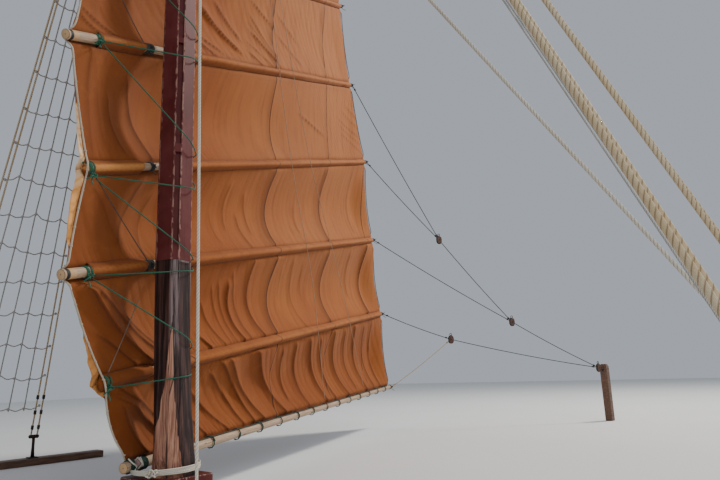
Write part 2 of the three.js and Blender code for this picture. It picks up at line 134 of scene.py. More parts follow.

# Width of each panel's loose edge, from one share of the panel's height to the next, and how much more
# painted light pales its top
Loose = namedtuple("Loose", "shares widths cream")
LOOSE_EDGES = [
    Loose([0.82, 0.90, 1.0], [0.006, 0.070, 0.125], 0.0),
    Loose([0.0, 0.10, 0.24, 0.36, 0.48], [0.145, 0.110, 0.068, 0.044, 0.006], 0.0),
    Loose([0.0, 0.23, 0.32, 0.45, 0.62, 0.80, 1.0], [0.006, 0.010, 0.035, 0.080, 0.115, 0.100, 0.085], 0.7),
    Loose([0.0, 0.16, 0.35, 0.52, 0.70], [0.100, 0.075, 0.040, 0.015, 0.006], 0.0),
    Loose([0.0, 1.0], [0.015, 0.015], 0.0),
    Loose([0.0, 1.0], [0.015, 0.015], 0.0),
    Loose([0.0, 1.0], [0.015, 0.015], 0.0),
]

# Each crease: panel, share of the panel's height at its top and foot, distance aft at its top, middle and
# foot, its height, and how far aft its lit side falls away
Crease = namedtuple("Crease", "panel high low top middle foot height reach")
CREASES = [Crease(*row) for row in [
    (1, 0.71, 0.02, -0.34, -0.16, 0.15, 0.075, 0.22),
    (1, 0.80, 0.22, -0.38, 0.02, 0.40, 0.071, 0.22),
    (1, 0.96, 0.36, -0.42, 0.00, 0.46, 0.030, 0.14),
    (1, 0.32, -0.05, 1.05, 1.20, 1.40, 0.036, 0.18),
    (1, 0.61, -0.02, 1.05, 1.45, 1.85, 0.036, 0.16),
    (1, 0.79, 0.05, 1.34, 1.86, 2.13, 0.030, 0.14),
    (1, 0.90, 0.03, 1.50, 2.08, 2.40, 0.046, 0.16),
    (1, 0.92, -0.02, 1.66, 2.24, 2.72, 0.061, 0.28),
    (1, 0.95, -0.02, 2.36, 2.90, 3.42, 0.075, 0.34),
    (1, 0.85, 0.20, 3.34, 3.44, 3.60, 0.030, 0.16),
    (1, 0.90, 0.05, 3.76, 4.02, 4.30, 0.036, 0.25),
    (1, 0.92, 0.02, 4.30, 4.75, 5.10, 0.051, 0.26),
    (1, 0.88, 0.05, 4.85, 5.20, 5.50, 0.036, 0.20),
    (1, 0.95, 0.00, 5.42, 5.80, 6.25, 0.055, 0.30),
    (1, 0.90, 0.10, 6.10, 6.45, 6.75, 0.030, 0.20),
    (1, 0.94, 0.02, 6.60, 7.00, 7.35, 0.046, 0.26),
    (1, 0.90, 0.05, 7.30, 7.60, 7.85, 0.030, 0.20),
    (1, 0.95, 0.02, 7.80, 8.05, 8.30, 0.030, 0.16),
    (2, 0.88, 0.02, -0.90, -0.40, 0.20, 0.115, 0.30),
    (2, 0.84, 0.16, -0.80, -0.24, 0.31, 0.038, 0.16),
    (2, 0.56, 0.20, -0.28, 0.04, 0.34, 0.024, 0.12),
    (2, 0.42, 0.05, -0.62, -0.30, -0.06, 0.034, 0.16),
    (2, 0.22, -0.04, 1.20, 1.31, 1.48, 0.046, 0.10),
    (2, 0.55, -0.02, 1.33, 1.51, 1.74, 0.019, 0.10),
    (2, 0.70, 0.08, 1.48, 1.67, 1.78, 0.014, 0.08),
    (2, 0.72, 0.00, 1.62, 1.83, 1.97, 0.016, 0.10),
    (2, 0.72, -0.04, 1.83, 1.96, 2.22, 0.049, 0.16),
    (2, 0.82, 0.06, 1.90, 2.12, 2.33, 0.019, 0.16),
    (2, 0.95, -0.02, 2.36, 2.46, 2.80, 0.035, 0.26),
    (2, 0.95, -0.03, 3.07, 3.07, 3.07, 0.038, 0.45),
    (2, 0.80, 0.48, 3.42, 3.48, 3.51, 0.008, 0.12),
    (2, 0.88, -0.01, 3.80, 4.02, 4.28, 0.015, 0.26),
    (2, 0.86, 0.36, 4.21, 4.38, 4.50, 0.008, 0.16),
    (2, 0.92, 0.00, 5.32, 5.32, 5.32, 0.035, 0.45),
    (2, 0.88, 0.30, 6.68, 6.74, 6.88, 0.019, 0.26),
    (2, 0.95, 0.02, 7.57, 7.57, 7.57, 0.061, 0.30),
    (3, 0.88, 0.22, -0.05, -0.20, -0.36, 0.024, 0.26),
    (3, 0.72, 0.06, 0.24, 0.10, 0.05, 0.017, 0.26),
    (3, 0.80, 0.12, -0.80, -0.46, -0.28, 0.014, 0.16),
    (3, 0.80, 0.28, 1.87, 1.87, 1.91, 0.016, 0.18),
    (3, 0.50, 0.10, 1.55, 1.60, 1.70, 0.007, 0.10),
    (3, 0.67, 0.22, 2.37, 2.47, 2.56, 0.016, 0.18),
    (3, 0.45, 0.00, 2.22, 2.29, 2.40, 0.018, 0.16),
    (3, 0.96, 0.00, 3.07, 3.07, 3.07, 0.031, 0.50),
    (3, 0.50, 0.15, 4.22, 4.18, 4.29, 0.013, 0.16),
    (3, 0.94, 0.02, 5.32, 5.32, 5.32, 0.029, 0.50),
    (3, 0.90, 0.10, 6.98, 6.98, 7.05, 0.012, 0.20),
    (4, 0.90, 0.04, -0.97, -0.92, -0.84, 0.012, 0.22),
    (4, 0.62, 0.18, -0.79, -0.74, -0.66, 0.012, 0.20),
    (4, 0.58, 0.10, -0.61, -0.53, -0.34, 0.024, 0.18),
    (4, 0.74, 0.02, -0.32, -0.12, 0.08, 0.032, 0.22),
    (4, 0.96, 0.02, 3.07, 3.07, 3.07, 0.014, 0.30),
    (4, 0.96, 0.02, 5.32, 5.32, 5.32, 0.012, 0.30),
    (4, 0.56, 0.33, 4.10, 4.60, 5.12, 0.020, 0.12),
    (4, 0.72, 0.50, 6.50, 6.93, 7.35, 0.012, 0.06),
    (4, 0.64, 0.42, 6.30, 6.78, 7.25, 0.012, 0.06),
    (4, 0.55, 0.33, 6.05, 6.61, 7.20, 0.014, 0.06),
    (4, 0.46, 0.24, 6.15, 6.70, 7.28, 0.012, 0.06),
    (4, 0.37, 0.13, 6.20, 6.79, 7.38, 0.012, 0.06),
    (5, 0.30, 0.05, -1.12, -0.86, -0.50, 0.022, 0.12),
    (5, 0.24, 0.04, -1.12, -0.98, -0.70, 0.020, 0.08),
    (5, 0.60, 0.16, 1.02, 1.46, 2.00, 0.055, 0.16),
    (5, 0.66, 0.30, 1.35, 1.70, 2.08, 0.026, 0.12),
    (5, 0.28, 0.12, 0.98, 1.23, 1.50, 0.032, 0.10),
    (5, 0.44, 0.06, 0.40, 0.84, 1.30, 0.030, 0.14),
    (5, 0.60, 0.16, 2.35, 2.76, 3.16, 0.022, 0.09),
    (5, 0.52, 0.14, 2.36, 2.76, 3.16, 0.014, 0.07),
    (5, 0.43, 0.09, 2.38, 2.82, 3.18, 0.034, 0.10),
    (5, 0.30, 0.04, 2.30, 2.68, 3.02, 0.016, 0.07),
    (5, 0.19, -0.02, 2.27, 2.54, 2.82, 0.024, 0.08),
    (5, 0.76, 0.52, 2.33, 2.71, 3.10, 0.022, 0.10),
    (5, 0.68, 0.40, 3.20, 3.62, 4.05, 0.016, 0.08),
    (5, 0.46, 0.14, 3.20, 3.66, 4.15, 0.016, 0.08),
    (5, 0.96, 0.02, 3.07, 3.07, 3.07, 0.022, 0.30),
    (5, 0.96, 0.02, 5.32, 5.32, 5.32, 0.016, 0.30),
]]

# Each set of light folds: panel, stretch along the sail, spacing, height, how far aft a fold runs from
# its top to its foot, and the share of the panel's height where it stands
Folds = namedtuple("Folds", "panel start end spacing height run low high")
FOLDS = [
    Folds(1, -0.6, 9.0, 0.21, 0.012, 0.80, 0.10, 1.00),
    Folds(2, 0.1, 9.0, 0.24, 0.007, 0.20, 0.10, 1.00),
    Folds(2, -1.3, 0.3, 0.18, 0.008, 0.95, 0.02, 0.98),
    Folds(3, 0.2, 8.2, 0.22, 0.006, 0.05, 0.10, 1.00),
    Folds(3, -1.2, 0.2, 0.30, 0.010, 0.30, 0.05, 0.95),
    Folds(4, 4.6, 7.6, 0.13, 0.006, 1.20, 0.05, 0.95),
    Folds(5, -1.2, 4.6, 0.17, 0.009, 1.05, 0.05, 1.00),
    Folds(5, 4.4, 6.8, 0.30, 0.012, 0.75, 0.05, 0.95),
    Folds(6, -1.2, 6.0, 0.34, 0.026, 0.80, 0.05, 0.95),
    Folds(7, -1.2, 5.2, 0.36, 0.022, 0.60, 0.05, 0.95),
]
PUCKER_SPACING = 0.075
PUCKER_HEIGHT = 0.013
PUCKER_REACH = 0.15
PUCKER_LEAN = 0.35
GATHER_SPACING = 0.045

# Height in the canvas's pattern from which the sleeves take theirs
SLEEVE_PLACE = 20.0

# Pocket sleeves of each spar: stretches along the sail that are covered
SLEEVES = {
    "boom": [],
    "batten_1": [(-0.64, 0.10), (0.42, 8.44)],
    "batten_2": [(-0.84, -0.06), (0.44, 7.98)],
    "batten_3": [(-0.985, -0.175), (0.44, 7.62)],
    "batten_4": [(-0.88, -0.22), (0.44, 6.77)],
    "batten_5": [(-1.00, -0.34), (0.44, 6.26)],
    "batten_6": [(-0.90, -0.34), (0.40, 5.43)],
    "yard": [],
}

# How much painted light the sleeves ahead of the mast have across their middle; under 0 it is painted shade
SLEEVE_LIGHT = {"batten_1": -0.22, "batten_2": 0.08, "batten_3": 0.45, "batten_4": 0.12}

# Mast
FACE_TURN = -69.5
VIEW_ANGLE = -120.6
HEWN_SIDES = 96
FLARE_TOWARD = -48.0
SHEATH = {"low": 2.43, "high": 10.40, "half": 0.147, "top_half": 0.132, "cut": 0.053}
SLOTS = [(2.587, 3.559), (3.654, 4.800), (4.860, 5.960), (6.030, 7.110), (7.180, 8.240), (8.310, 9.350)]
SLOT_WIDE = 0.052
SLOT_DEEP = 0.036
MAST_REACH = 0.188
FOOT_REACH = 0.281
Section = namedtuple("Section", "up half cut lean")
LOWER_SECTIONS = [
    Section(0.0, 0.195, 0.106, 0.066),
    Section(0.385, 0.195, 0.106, 0.066),
    Section(0.620, 0.178, 0.096, 0.058),
    Section(0.900, 0.165, 0.084, 0.044),
    Section(1.600, 0.153, 0.066, 0.014),
    Section(2.430, 0.149, 0.054, 0.0),
]
FOOT_LEAN = 0.066

# Bare wood on the lower mast: height, and where its left and right edges lie, in degrees from VIEW_ANGLE
BARE_LEFT = [(0.0, -110.0), (0.60, -95.0), (0.70, -80.0), (0.93, -48.0), (1.07, -43.0), (1.21, -27.0),
             (1.60, -9.0), (1.90, 4.0)]
BARE_RIGHT = [(0.45, 22.0), (0.80, 12.0), (1.10, 5.0)]

# Turned pieces of the mast: reach and height, which in the lead block's band is from its middle
HEAD_TOP = 12.948
CAP = [(0.146, 12.951), (0.150, 12.956), (0.150, 12.975), (0.138, 12.992), (0.118, 13.012), (0.110, 13.019)]
HOUNDS = [(0.123, 12.242), (0.144, 12.240), (0.146, 12.244), (0.146, 12.356), (0.144, 12.360),
          (0.123, 12.358)]
LEAD_BAND = [(0.132, -0.041), (0.148, -0.045), (0.150, -0.041), (0.150, 0.041), (0.148, 0.045),
             (0.132, 0.041)]
SWIVEL = [(0.131, 11.604), (0.156, 11.600), (0.158, 11.604), (0.158, 11.686), (0.156, 11.690),
          (0.131, 11.686)]

# Box at the foot: half its side, its cut corners, its hole, and its section as the share of the way in
# from the outer edge to the hole, the height, and the chipping
BOX_HALF = 0.32
BOX_CUT = 0.030
BOX_HOLE = 0.217
BOX_SIDES = 96
BOX_STEPS = [
    (0.0, 0.0, 0.3), (0.0, 0.30, 0.1), (0.0, 0.372, 0.5), (0.012, 0.381, 1.0), (0.05, 0.385, 0.6),
    (0.35, 0.385, 0.1), (0.9, 0.385, 0.2), (1.0, 0.379, 0.8), (1.0, 0.30, 0.2), (1.0, 0.0, 0.0),
]

# Standing and running rigging
HALF_BEAM = 5.40
SHROUD_FEET = {"fore": -0.65, "aft": 0.78}
SHROUD_TOP = 12.30
SHROUD_SPREAD = 0.055
SHROUD_OUT = 0.190
SHROUD_RADIUS = 0.019
PAIR_GAP = 0.095
CHANNEL_TALL = 0.11
EYE_RISE = 0.33
NET_LINES = 6
NET_RUNGS = 21
NET_LOW = 0.92
NET_STEP = 0.465
UPRIGHT_RADIUS = 0.0095
RUNG_RADIUS = 0.0085
LIGHT_RADIUS = 0.0062
SHROUD_SEIZINGS = (0.16, 0.42, 0.68)
FALL_FOOT = np.array([-0.09, -0.647, 0.15])
FALL_LEAD = np.array([0.01, -0.235, 11.20])
FALL_RADIUS = 0.0155
GUY_RADIUS = 0.0165
GUY_UP = 8.80
COLLAR_UP = 12.50
POST_AFT = 11.04
POST_EYE = np.array([10.925, 0.0, 1.12])
UPPER_BLOCK = np.array([0.12, 0.24, 11.49])
SLING_AFT = 0.55

# Lines that hold the battens to the mast: where each is knotted on its pole, how far the knot is above the
# pole's middle, its height at the mast's right edge as the camera sees it, the same for the second line
# that leads down to the next batten, the turns on the pole, and what lies under them
EDGE_ANGLE = 288.0
PARREL_RADIUS = 0.0062
TURN_RADIUS = 0.0048
PARREL_CLEAR = 0.006
PARREL_END = 0.34
ROPE_BEFORE = ["batten_1", "batten_3"]
SLEEVE_DEEP = 0.014
ROPE_OUT = 0.060
LASHING_RADIUS = 0.0075
SEIZING_RADIUS = 0.006
LACING_RADIUS = 0.007
TACK = np.array([-0.205, 0.240, 0.420])
BOOM_KNOT = np.array([-0.15, 0.225, 0.44])
CHOCK_FORE = np.array([-0.150, 0.232, 0.503])
CHOCK_LONG = 0.065
CHOCK_WIDE = 0.060
Parrel = namedtuple("Parrel", "knot_aft knot_drop edge_up lower_edge turns over")
PARRELS = {
    "batten_1": Parrel(-0.55, -0.050, 1.300, 0.0, 3.0, 0.013),
    "batten_2": Parrel(-0.86, -0.040, 2.332, 1.610, 3.0, 0.000),
    "batten_3": Parrel(-0.91, -0.080, 3.189, 2.456, 4.0, 0.013),
    "batten_4": Parrel(-0.90, -0.030, 4.662, 3.598, 3.0, 0.000),
    "batten_5": Parrel(-1.00, -0.020, 5.900, 4.963, 3.0, 0.002),
    "batten_6": Parrel(-0.90, -0.020, 7.120, 6.150, 3.0, 0.002),
}

# Black turns near the mast on each batten: where, and how many
SEIZINGS = {
    "batten_1": [(0.37, 3.0)],
    "batten_2": [(-0.005, 8.0), (0.37, 3.0)],
    "batten_3": [(-0.035, 5.0), (0.37, 3.0)],
    "batten_4": [(-0.16, 11.0), (0.37, 3.0)],
    "batten_5": [(-0.18, 5.0), (0.37, 3.0)],
    "batten_6": [(-0.18, 5.0), (0.37, 3.0)],
}

# Thin lines that draw the luff's edge in: start and end as distance aft and height, and their rope
THIN_ACROSS = 0.215
THIN_RADIUS = 0.0045
THIN_LINES = [((-0.906, 3.106), (-0.109, 2.434), "dark"), ((-0.676, 5.049), (-0.329, 4.767), "dark"),
              ((-0.239, 2.036), (-0.608, 1.351), "dull")]

# Light lines on the near side of the sail, as distance aft and height
TOPPING_ACROSS = 0.10
TOPPING_RADIUS = 0.0048
TOPPING_LINES = [
    [(0.10, 11.60), (1.20, 9.90), (2.46, 6.91), (2.86, 5.45), (3.13, 4.57), (3.89, 2.76), (4.62, 0.86)],
    [(0.14, 11.60), (1.75, 9.40), (2.85, 7.05), (3.44, 5.72), (3.90, 4.82), (5.22, 2.93), (6.72, 1.00)],
]

# Blocks
Block = namedtuple("Block", "wide thick tall")
SHEET_SIZE = Block(0.105, 0.058, 0.165)
LEAD_SIZE = Block(0.085, 0.070, 0.165)
UPPER_SIZE = Block(0.128, 0.088, 0.198)
YARD_SIZE = Block(0.118, 0.088, 0.198)

# Sheets: blocks in the sail's frame, each line's start and end, and a level direction between sail and ship
# with two distances along it
SHEET_BLOCKS = {
    "upper": (8.331, -1.200, 4.154),
    "middle": (9.195, -2.596, 2.261),
    "lower": (9.056, -1.196, 1.931),
    "post": (9.946, -4.362, 1.170),
}
SHEET_RUNS = [("boom", "lower"), ("batten_1", "lower"), ("batten_2", "middle"), ("batten_3", "upper"),
              ("batten_4", "upper"), ("upper", "middle"), ("middle", "post"), ("lower", "post")]
SHEET_STAND_OFF = 0.070
SHEET_RADIUS = 0.0085
SHEET_RUN_OUT = 0.060
SHEET_BEND = np.array([0.653, -0.758, 0.0])
SHEET_BENT = (2.4, 6.9)


# Arithmetic on arrays

AFT = np.array([1.0, 0.0, 0.0])
UP = np.array([0.0, 0.0, 1.0])


def blend(first, second, share):
    return first + (second - first) * share


def ease(value):
    """0 below 0, 1 above 1, and the smooth step 3v^2 - 2v^3 between."""
    value = np.clip(value, 0.0, 1.0)
    return value * value * (3.0 - 2.0 * value)


def band(value, low, high, soft):
    """1 from low to high, fading to 0 over the soft distance outside."""
    return ease((value - low) / soft + 1.0) * (1.0 - ease((value - high) / soft))


def unit(vectors):
    return vectors / np.linalg.norm(vectors, axis=-1, keepdims=True)


def wander(across, up=0.0, seed=0):
    """Smooth random heights from -1 to 1: seeded values on a square lattice, blended by ease()."""
    table = np.random.default_rng(seed).uniform(-1.0, 1.0, (64, 64))
    across, up = np.broadcast_arrays(np.asarray(across, float), np.asarray(up, float))
    left, low = np.floor(across).astype(int), np.floor(up).astype(int)
    right_share, up_share = ease(across - left), ease(up - low)
    lower = blend(table[left % 64, low % 64], table[(left + 1) % 64, low % 64], right_share)
    upper = blend(table[left % 64, (low + 1) % 64], table[(left + 1) % 64, (low + 1) % 64], right_share)
    return blend(lower, upper, up_share)


def turned(x, y, angle):
    """x and y turned about the mast's axis by an angle in radians."""
    return math.cos(angle) * x - math.sin(angle) * y, math.sin(angle) * x + math.cos(angle) * y


def sail_place(aft, across, up):
    """Distances along, across and above the sail, as points in the part's frame."""
    aft, across, up = np.broadcast_arrays(*(np.asarray(part, float) for part in (aft, across, up)))
    x, y = turned(aft, across, SWING)
    return np.stack([x, y, up], axis=-1)


def to_part(points):
    """Points of the sail's own frame, turned to the part's frame."""
    points = np.asarray(points, float)
    return sail_place(points[..., 0], points[..., 1], points[..., 2])


def round_curve(points, step):
    """A smooth path through points: cubic arcs whose slope at each point is that of the chord between its
    neighbours, measured by chord length, then spaced evenly by the step."""
    points = np.asarray(points, float)
    if len(points) > 2:
        knots = run_of(points)
        slopes = np.gradient(points, knots, axis=0)
        fine = np.linspace(0.0, knots[-1], 24 * len(points))
        low = np.clip(np.searchsorted(knots, fine, side="right") - 1, 0, len(points) - 2)
        span = (knots[low + 1] - knots[low])[:, None]
        share = (fine - knots[low])[:, None] / span
        square, cube = share ** 2, share ** 3
        points = ((2 * cube - 3 * square + 1) * points[low] + (cube - 2 * square + share) * span * slopes[low]
                  + (3 * square - 2 * cube) * points[low + 1] + (cube - square) * span * slopes[low + 1])
    return evenly(points, step)


def run_of(points):
    """How far along a path each of its points lies."""
    return np.concatenate([[0.0], np.cumsum(np.linalg.norm(np.diff(points, axis=0), axis=1))])


def ring(centre, radius, first, second, count):
    """A circle of points round a centre, from its first direction toward its second."""
    turn = np.linspace(0.0, 2.0 * np.pi, count)[:, None]
    return centre + radius * np.cos(turn) * first + radius * np.sin(turn) * second


def evenly(points, step):
    """The same polyline with its points spaced evenly, about one step apart."""
    points = np.asarray(points, float)
    run = run_of(points)
    count = max(2, int(round(run[-1] / step)) + 1)
    places = np.linspace(0.0, run[-1], count)
    return np.stack([np.interp(places, run, points[:, axis]) for axis in range(3)], axis=1)


def sagging(first, second, sag, step):
    """A line between two points that hangs by sag in the middle, as a parabola."""
    first, second = np.asarray(first, float), np.asarray(second, float)
    share = np.linspace(0.0, 1.0, max(3, int(np.linalg.norm(second - first) / step) + 1))[:, None]
    path = blend(first, second, share)
    path[:, 2] -= (4.0 * sag * share * (1.0 - share))[:, 0]
    return path


# Meshes

class Skin:
    """Points and faces that are gathered here and then made one object."""

    def __init__(self):
        self.points, self.marks, self.faces, self.places = [], [], [], []
        self.count = 0

    def add(self, points, faces, places, marks=None):
        """Points (n, 3), faces as number arrays with 3 or 4 columns, the texture place of each corner."""
        self.points.append(points)
        self.marks.append(np.zeros(len(points)) if marks is None else marks)
        for face, place in zip(faces, places):
            self.faces.append(face + self.count)
            self.places.append(place)
        self.count += len(points)
        return self

    def loft(self, rings, along=None, around=None, marks=None, hoop=False):
        """A closed skin over rings (m, n, 3). Each end is closed by a fan round its middle, or the last
        ring joins the first when hoop is true. It is turned the right way out by its signed volume."""
        count, sides, _ = rings.shape
        middle = rings.mean(axis=1)
        if along is None:
            along = run_of(middle)
        if around is None:
            edge = np.linalg.norm(np.roll(rings[0], -1, axis=0) - rings[0], axis=1)
            around = np.concatenate([[0.0], np.cumsum(edge)])
        last = count if hoop else count - 1
        row, side = np.meshgrid(np.arange(last), np.arange(sides), indexing="ij")
        above, next_side = (row + 1) % count, (side + 1) % sides
        quads = np.stack([row * sides + side, row * sides + next_side, above * sides + next_side,
                          above * sides + side], axis=-1).reshape(-1, 4)
        run = np.append(along, along[-1] + along[1] - along[0])
        places = np.stack([np.stack([run[row], around[side]], -1), np.stack([run[row], around[side + 1]], -1),
                           np.stack([run[row + 1], around[side + 1]], -1),
                           np.stack([run[row + 1], around[side]], -1)], axis=2).reshape(-1, 4, 2)
        points = rings.reshape(-1, 3)
        marks = np.zeros(len(points)) if marks is None else np.broadcast_to(marks, (count, sides)).reshape(-1)
        faces, uvs = [quads], [places]
        if not hoop:
            ends = np.array([len(points), len(points) + 1])
            side = np.arange(sides)
            start = np.stack([np.full(sides, ends[0]), (side + 1) % sides, side], axis=1)
            tip = (count - 1) * sides
            stop = np.stack([np.full(sides, ends[1]), tip + side, tip + (side + 1) % sides], axis=1)
            points = np.concatenate([points, middle[[0, -1]]])
            marks = np.append(marks, [marks[:sides].mean(), marks[-sides:].mean()])
            for fan in (start, stop):
                faces.append(fan)
                spokes = np.linalg.norm(points[fan] - points[fan[:, :1]], axis=-1)
                uvs.append(np.stack([spokes, np.zeros_like(spokes)], axis=-1))
        flat = np.concatenate([np.concatenate([f[:, [0, 1, 2]], f[:, [0, 2, 3]]]) if f.shape[1] == 4 else f
                               for f in faces])
        first, second, third = (points[flat[:, corner]] - points.mean(axis=0) for corner in range(3))
        if np.einsum("ij,ij->", first, np.cross(second, third)) < 0:
            faces = [face[:, ::-1] for face in faces]
            uvs = [place[:, ::-1] for place in uvs]
        return self.add(points, faces, uvs, marks)

    def put(self, name, material, body, slot, replaces=(), smooth=True):
        """Makes the object, gives it its finish and its body, and hides the plain pieces it stands for."""
        points = np.concatenate(self.points)
        sizes = np.concatenate([np.full(len(face), face.shape[1]) for face in self.faces])
        corners = np.concatenate([face.reshape(-1) for face in self.faces])
        mesh = bpy.data.meshes.new(name)
        mesh.vertices.add(len(points))
        mesh.vertices.foreach_set("co", points.astype(np.float32).reshape(-1))
        mesh.loops.add(len(corners))
        mesh.loops.foreach_set("vertex_index", corners.astype(np.int32))
        mesh.polygons.add(len(sizes))
        mesh.polygons.foreach_set("loop_start", (np.cumsum(sizes) - sizes).astype(np.int32))
        mesh.polygons.foreach_set("use_smooth", np.full(len(sizes), smooth))
        layer = mesh.uv_layers.new(name="UVMap")
        places = np.concatenate([place.reshape(-1, 2) for place in self.places])
        layer.data.foreach_set("uv", places.astype(np.float32).reshape(-1))
        mark = mesh.attributes.new("mark", "FLOAT", "POINT")
        mark.data.foreach_set("value", np.concatenate(self.marks).astype(np.float32))
        mesh.update(calc_edges=True)
        piece = bpy.data.objects.new(name, mesh)
        bpy.context.scene.collection.objects.link(piece)
        mesh.materials.append(material)
        if body:
            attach(piece, body)
        if replaces:
            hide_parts(*replaces)
        return piece


def sweep(path, radius, sides=10, lobes=0, depth=0.0, pitch=1.0):
    """Rings round a path, and the way along it. The section is a circle whose radius is cut by depth
    between its lobes, and the lobes wind once round the path in each pitch. Rings are squared to the
    path's direction and to the direction in which the path varies least."""
    path = np.asarray(path, float)
    forward = unit(np.gradient(path, axis=0))
    least = np.linalg.svd(path - path.mean(axis=0))[2][2]
    side = unit(np.cross(forward, least))
    other = np.cross(forward, side)
    run = run_of(path)
    angle = np.arange(sides) / sides * 2.0 * np.pi
    lobe = np.abs(np.cos(lobes / 2.0 * (angle[None, :] - 2.0 * np.pi * run[:, None] / pitch)))
    reach = np.broadcast_to(np.asarray(radius, float), run.shape)[:, None] * (1.0 - depth * (1.0 - lobe))
    rings = (path[:, None] + reach[..., None] * (np.cos(angle)[None, :, None] * side[:, None]
                                                 + np.sin(angle)[None, :, None] * other[:, None]))
    return rings, run


def tube(skin, path, radius, sides=10, mark=0.0):
    """A plain round tube along a path; the radius may change along it."""
    rings, run = sweep(path, radius, sides)
    around = np.arange(sides + 1) / sides * 2.0 * np.pi * np.mean(radius)
    return skin.loft(rings, run, around, np.full(rings.shape[:2], mark))


def laid_rope(skin, path, radius):
    """A rope of three strands that wind round it once in seven radii. A stout rope has them in its
    section, and a thin line is round and has them in its finish, which counts pitches along and turns
    around."""
    pitch = STRAND_PITCH * radius
    if radius > THIN_ROPE:
        sides = 10
        rings, run = sweep(evenly(path, pitch / 3.0), radius, sides, lobes=STRANDS, depth=0.30, pitch=pitch)
    else:
        sides = 7
        rings, run = sweep(path, radius, sides)
    return skin.loft(rings, run / pitch, np.arange(sides + 1) / sides)


def turns(centre, axis, radius, count, rope_radius, phase=0.0):
    """A helix of rope laid side by side round an axis through a centre."""
    axis = unit(np.asarray(axis, float))
    side = unit(np.cross(axis, [0.0, 0.3, 1.0] if abs(axis[2]) < 0.9 else [1.0, 0.0, 0.0]))
    other = np.cross(axis, side)
    share = np.linspace(-0.5, 0.5, max(12, int(count * 11)))
    angle = (phase + share * count) * 2.0 * np.pi
    along = share * count * 2.05 * rope_radius
    return (np.asarray(centre, float) + along[:, None] * axis
            + (radius + rope_radius) * (np.cos(angle)[:, None] * side + np.sin(angle)[:, None] * other))


def knot(centre, size, tilt=0.0):
    """An overhand knot drawn tight: a trefoil whose three loops are turned by tilt."""
    turn = np.linspace(0.0, 2.0 * np.pi * 0.985, 42)
    flat = np.stack([np.sin(turn) + 2.0 * np.sin(2.0 * turn), np.cos(turn) - 2.0 * np.cos(2.0 * turn),
                     -1.6 * np.sin(3.0 * turn)], axis=1) * size / 3.0
    spin = np.array(Matrix.Rotation(tilt, 3, "X") @ Matrix.Rotation(tilt * 1.7 + 0.6, 3, "Z"))
    return np.asarray(centre, float) + flat @ spin.T


# Materials

class Value:
    """A socket in a material. Sums written in Python with it become Math nodes."""

    def __init__(self, finish, socket):
        self.finish, self.socket = finish, socket

    def math(self, kind, *others):
        inputs = dict(enumerate((self,) + others))
        return self.finish.node("ShaderNodeMath", {"operation": kind}, inputs)

    def __add__(self, other):
        return self.math("ADD", other)

    def __mul__(self, other):
        return self.math("MULTIPLY", other)

    def __sub__(self, other):
        return self.math("SUBTRACT", other)

    def __truediv__(self, other):
        return self.math("DIVIDE", other)

    def __rsub__(self, other):
        return self.finish.node("ShaderNodeMath", {"operation": "SUBTRACT"}, {0: other, 1: self})

    __radd__ = __add__
    __rmul__ = __mul__

    def size(self):
        return self.math("ABSOLUTE")

    def fraction(self):
        return self.math("FRACT")

    def wave(self):
        return self.math("SINE")

    def least(self, other):
        return self.math("MINIMUM", other)

    def most(self, other):
        return self.math("MAXIMUM", other)


class Finish:
    """One material and its nodes."""

    def __init__(self, name):
        self.material = bpy.data.materials.new(name)
        self.material.use_nodes = True
        self.tree = self.material.node_tree
        self.tree.nodes.clear()

    def node(self, kind, settings=None, inputs=None, out=0):
        """Adds a node of a type: its settings first, then the values or links of its sockets."""
        made = self.tree.nodes.new(kind)
        for key, value in (settings or {}).items():
            if key == "stops":
                while len(made.color_ramp.elements) < len(value):
                    made.color_ramp.elements.new(0.5)
                for element, (place, colour) in zip(made.color_ramp.elements, value):
                    element.position = place
                    element.color = (*colour, 1.0)
            else:
                setattr(made, key, value)
        for key, value in (inputs or {}).items():
            if isinstance(value, Value):
                self.tree.links.new(value.socket, made.inputs[key])
            elif value is not None:
                made.inputs[key].default_value = value
        return Value(self, made.outputs[out]) if made.outputs else None

    def object_place(self, scale=(1.0, 1.0, 1.0)):
        place = self.node("ShaderNodeTexCoord", out=3)
        return self.node("ShaderNodeMapping", None, {0: place, 3: scale})

    def surface_place(self, scale=(1.0, 1.0, 1.0)):
        place = self.node("ShaderNodeUVMap", {"uv_map": "UVMap"})
        return self.node("ShaderNodeMapping", None, {0: place, 3: scale})

    def split(self, place, axis):
        return self.node("ShaderNodeSeparateXYZ", None, {0: place}, out=axis)

    def mark(self):
        return self.node("ShaderNodeAttribute", {"attribute_name": "mark"}, out=2)

    def noise(self, place, scale, detail=4.0, rough=0.55, bend=0.0):
        return self.node("ShaderNodeTexNoise", None, {"Vector": place, "Scale": scale, "Detail": detail,
                                                      "Roughness": rough, "Distortion": bend})

    def cells(self, place, scale, feature="F1"):
        return self.node("ShaderNodeTexVoronoi", {"feature": feature}, {"Vector": place, "Scale": scale})

    def step(self, value, low, high):
        """0 below low and 1 above high, with a smooth step between."""
        return self.node("ShaderNodeMapRange", {"interpolation_type": "SMOOTHSTEP"},
                         {0: value, 1: low, 2: high, 3: 0.0, 4: 1.0})

    def mix(self, share, first, second):
        colours = [value if isinstance(value, Value) else (*value, 1.0) for value in (first, second)]
        inputs = {0: share, 6: colours[0], 7: colours[1]}
        return self.node("ShaderNodeMix", {"data_type": "RGBA"}, inputs, out=2)

    def bump(self, height, distance, strength):
        inputs = {"Height": height, "Distance": distance, "Strength": strength}
        return self.node("ShaderNodeBump", None, inputs)

    def surface(self, colour, rough, normal=None, **constants):
        inputs = {"Base Color": colour if isinstance(colour, Value) else (*colour, 1.0), "Roughness": rough,
                  "Normal": normal}
        inputs.update({key.replace("_", " "): value for key, value in constants.items()})
        shader = self.node("ShaderNodeBsdfPrincipled", None, inputs)
        self.node("ShaderNodeOutputMaterial", None, {0: shader})
        return self.material


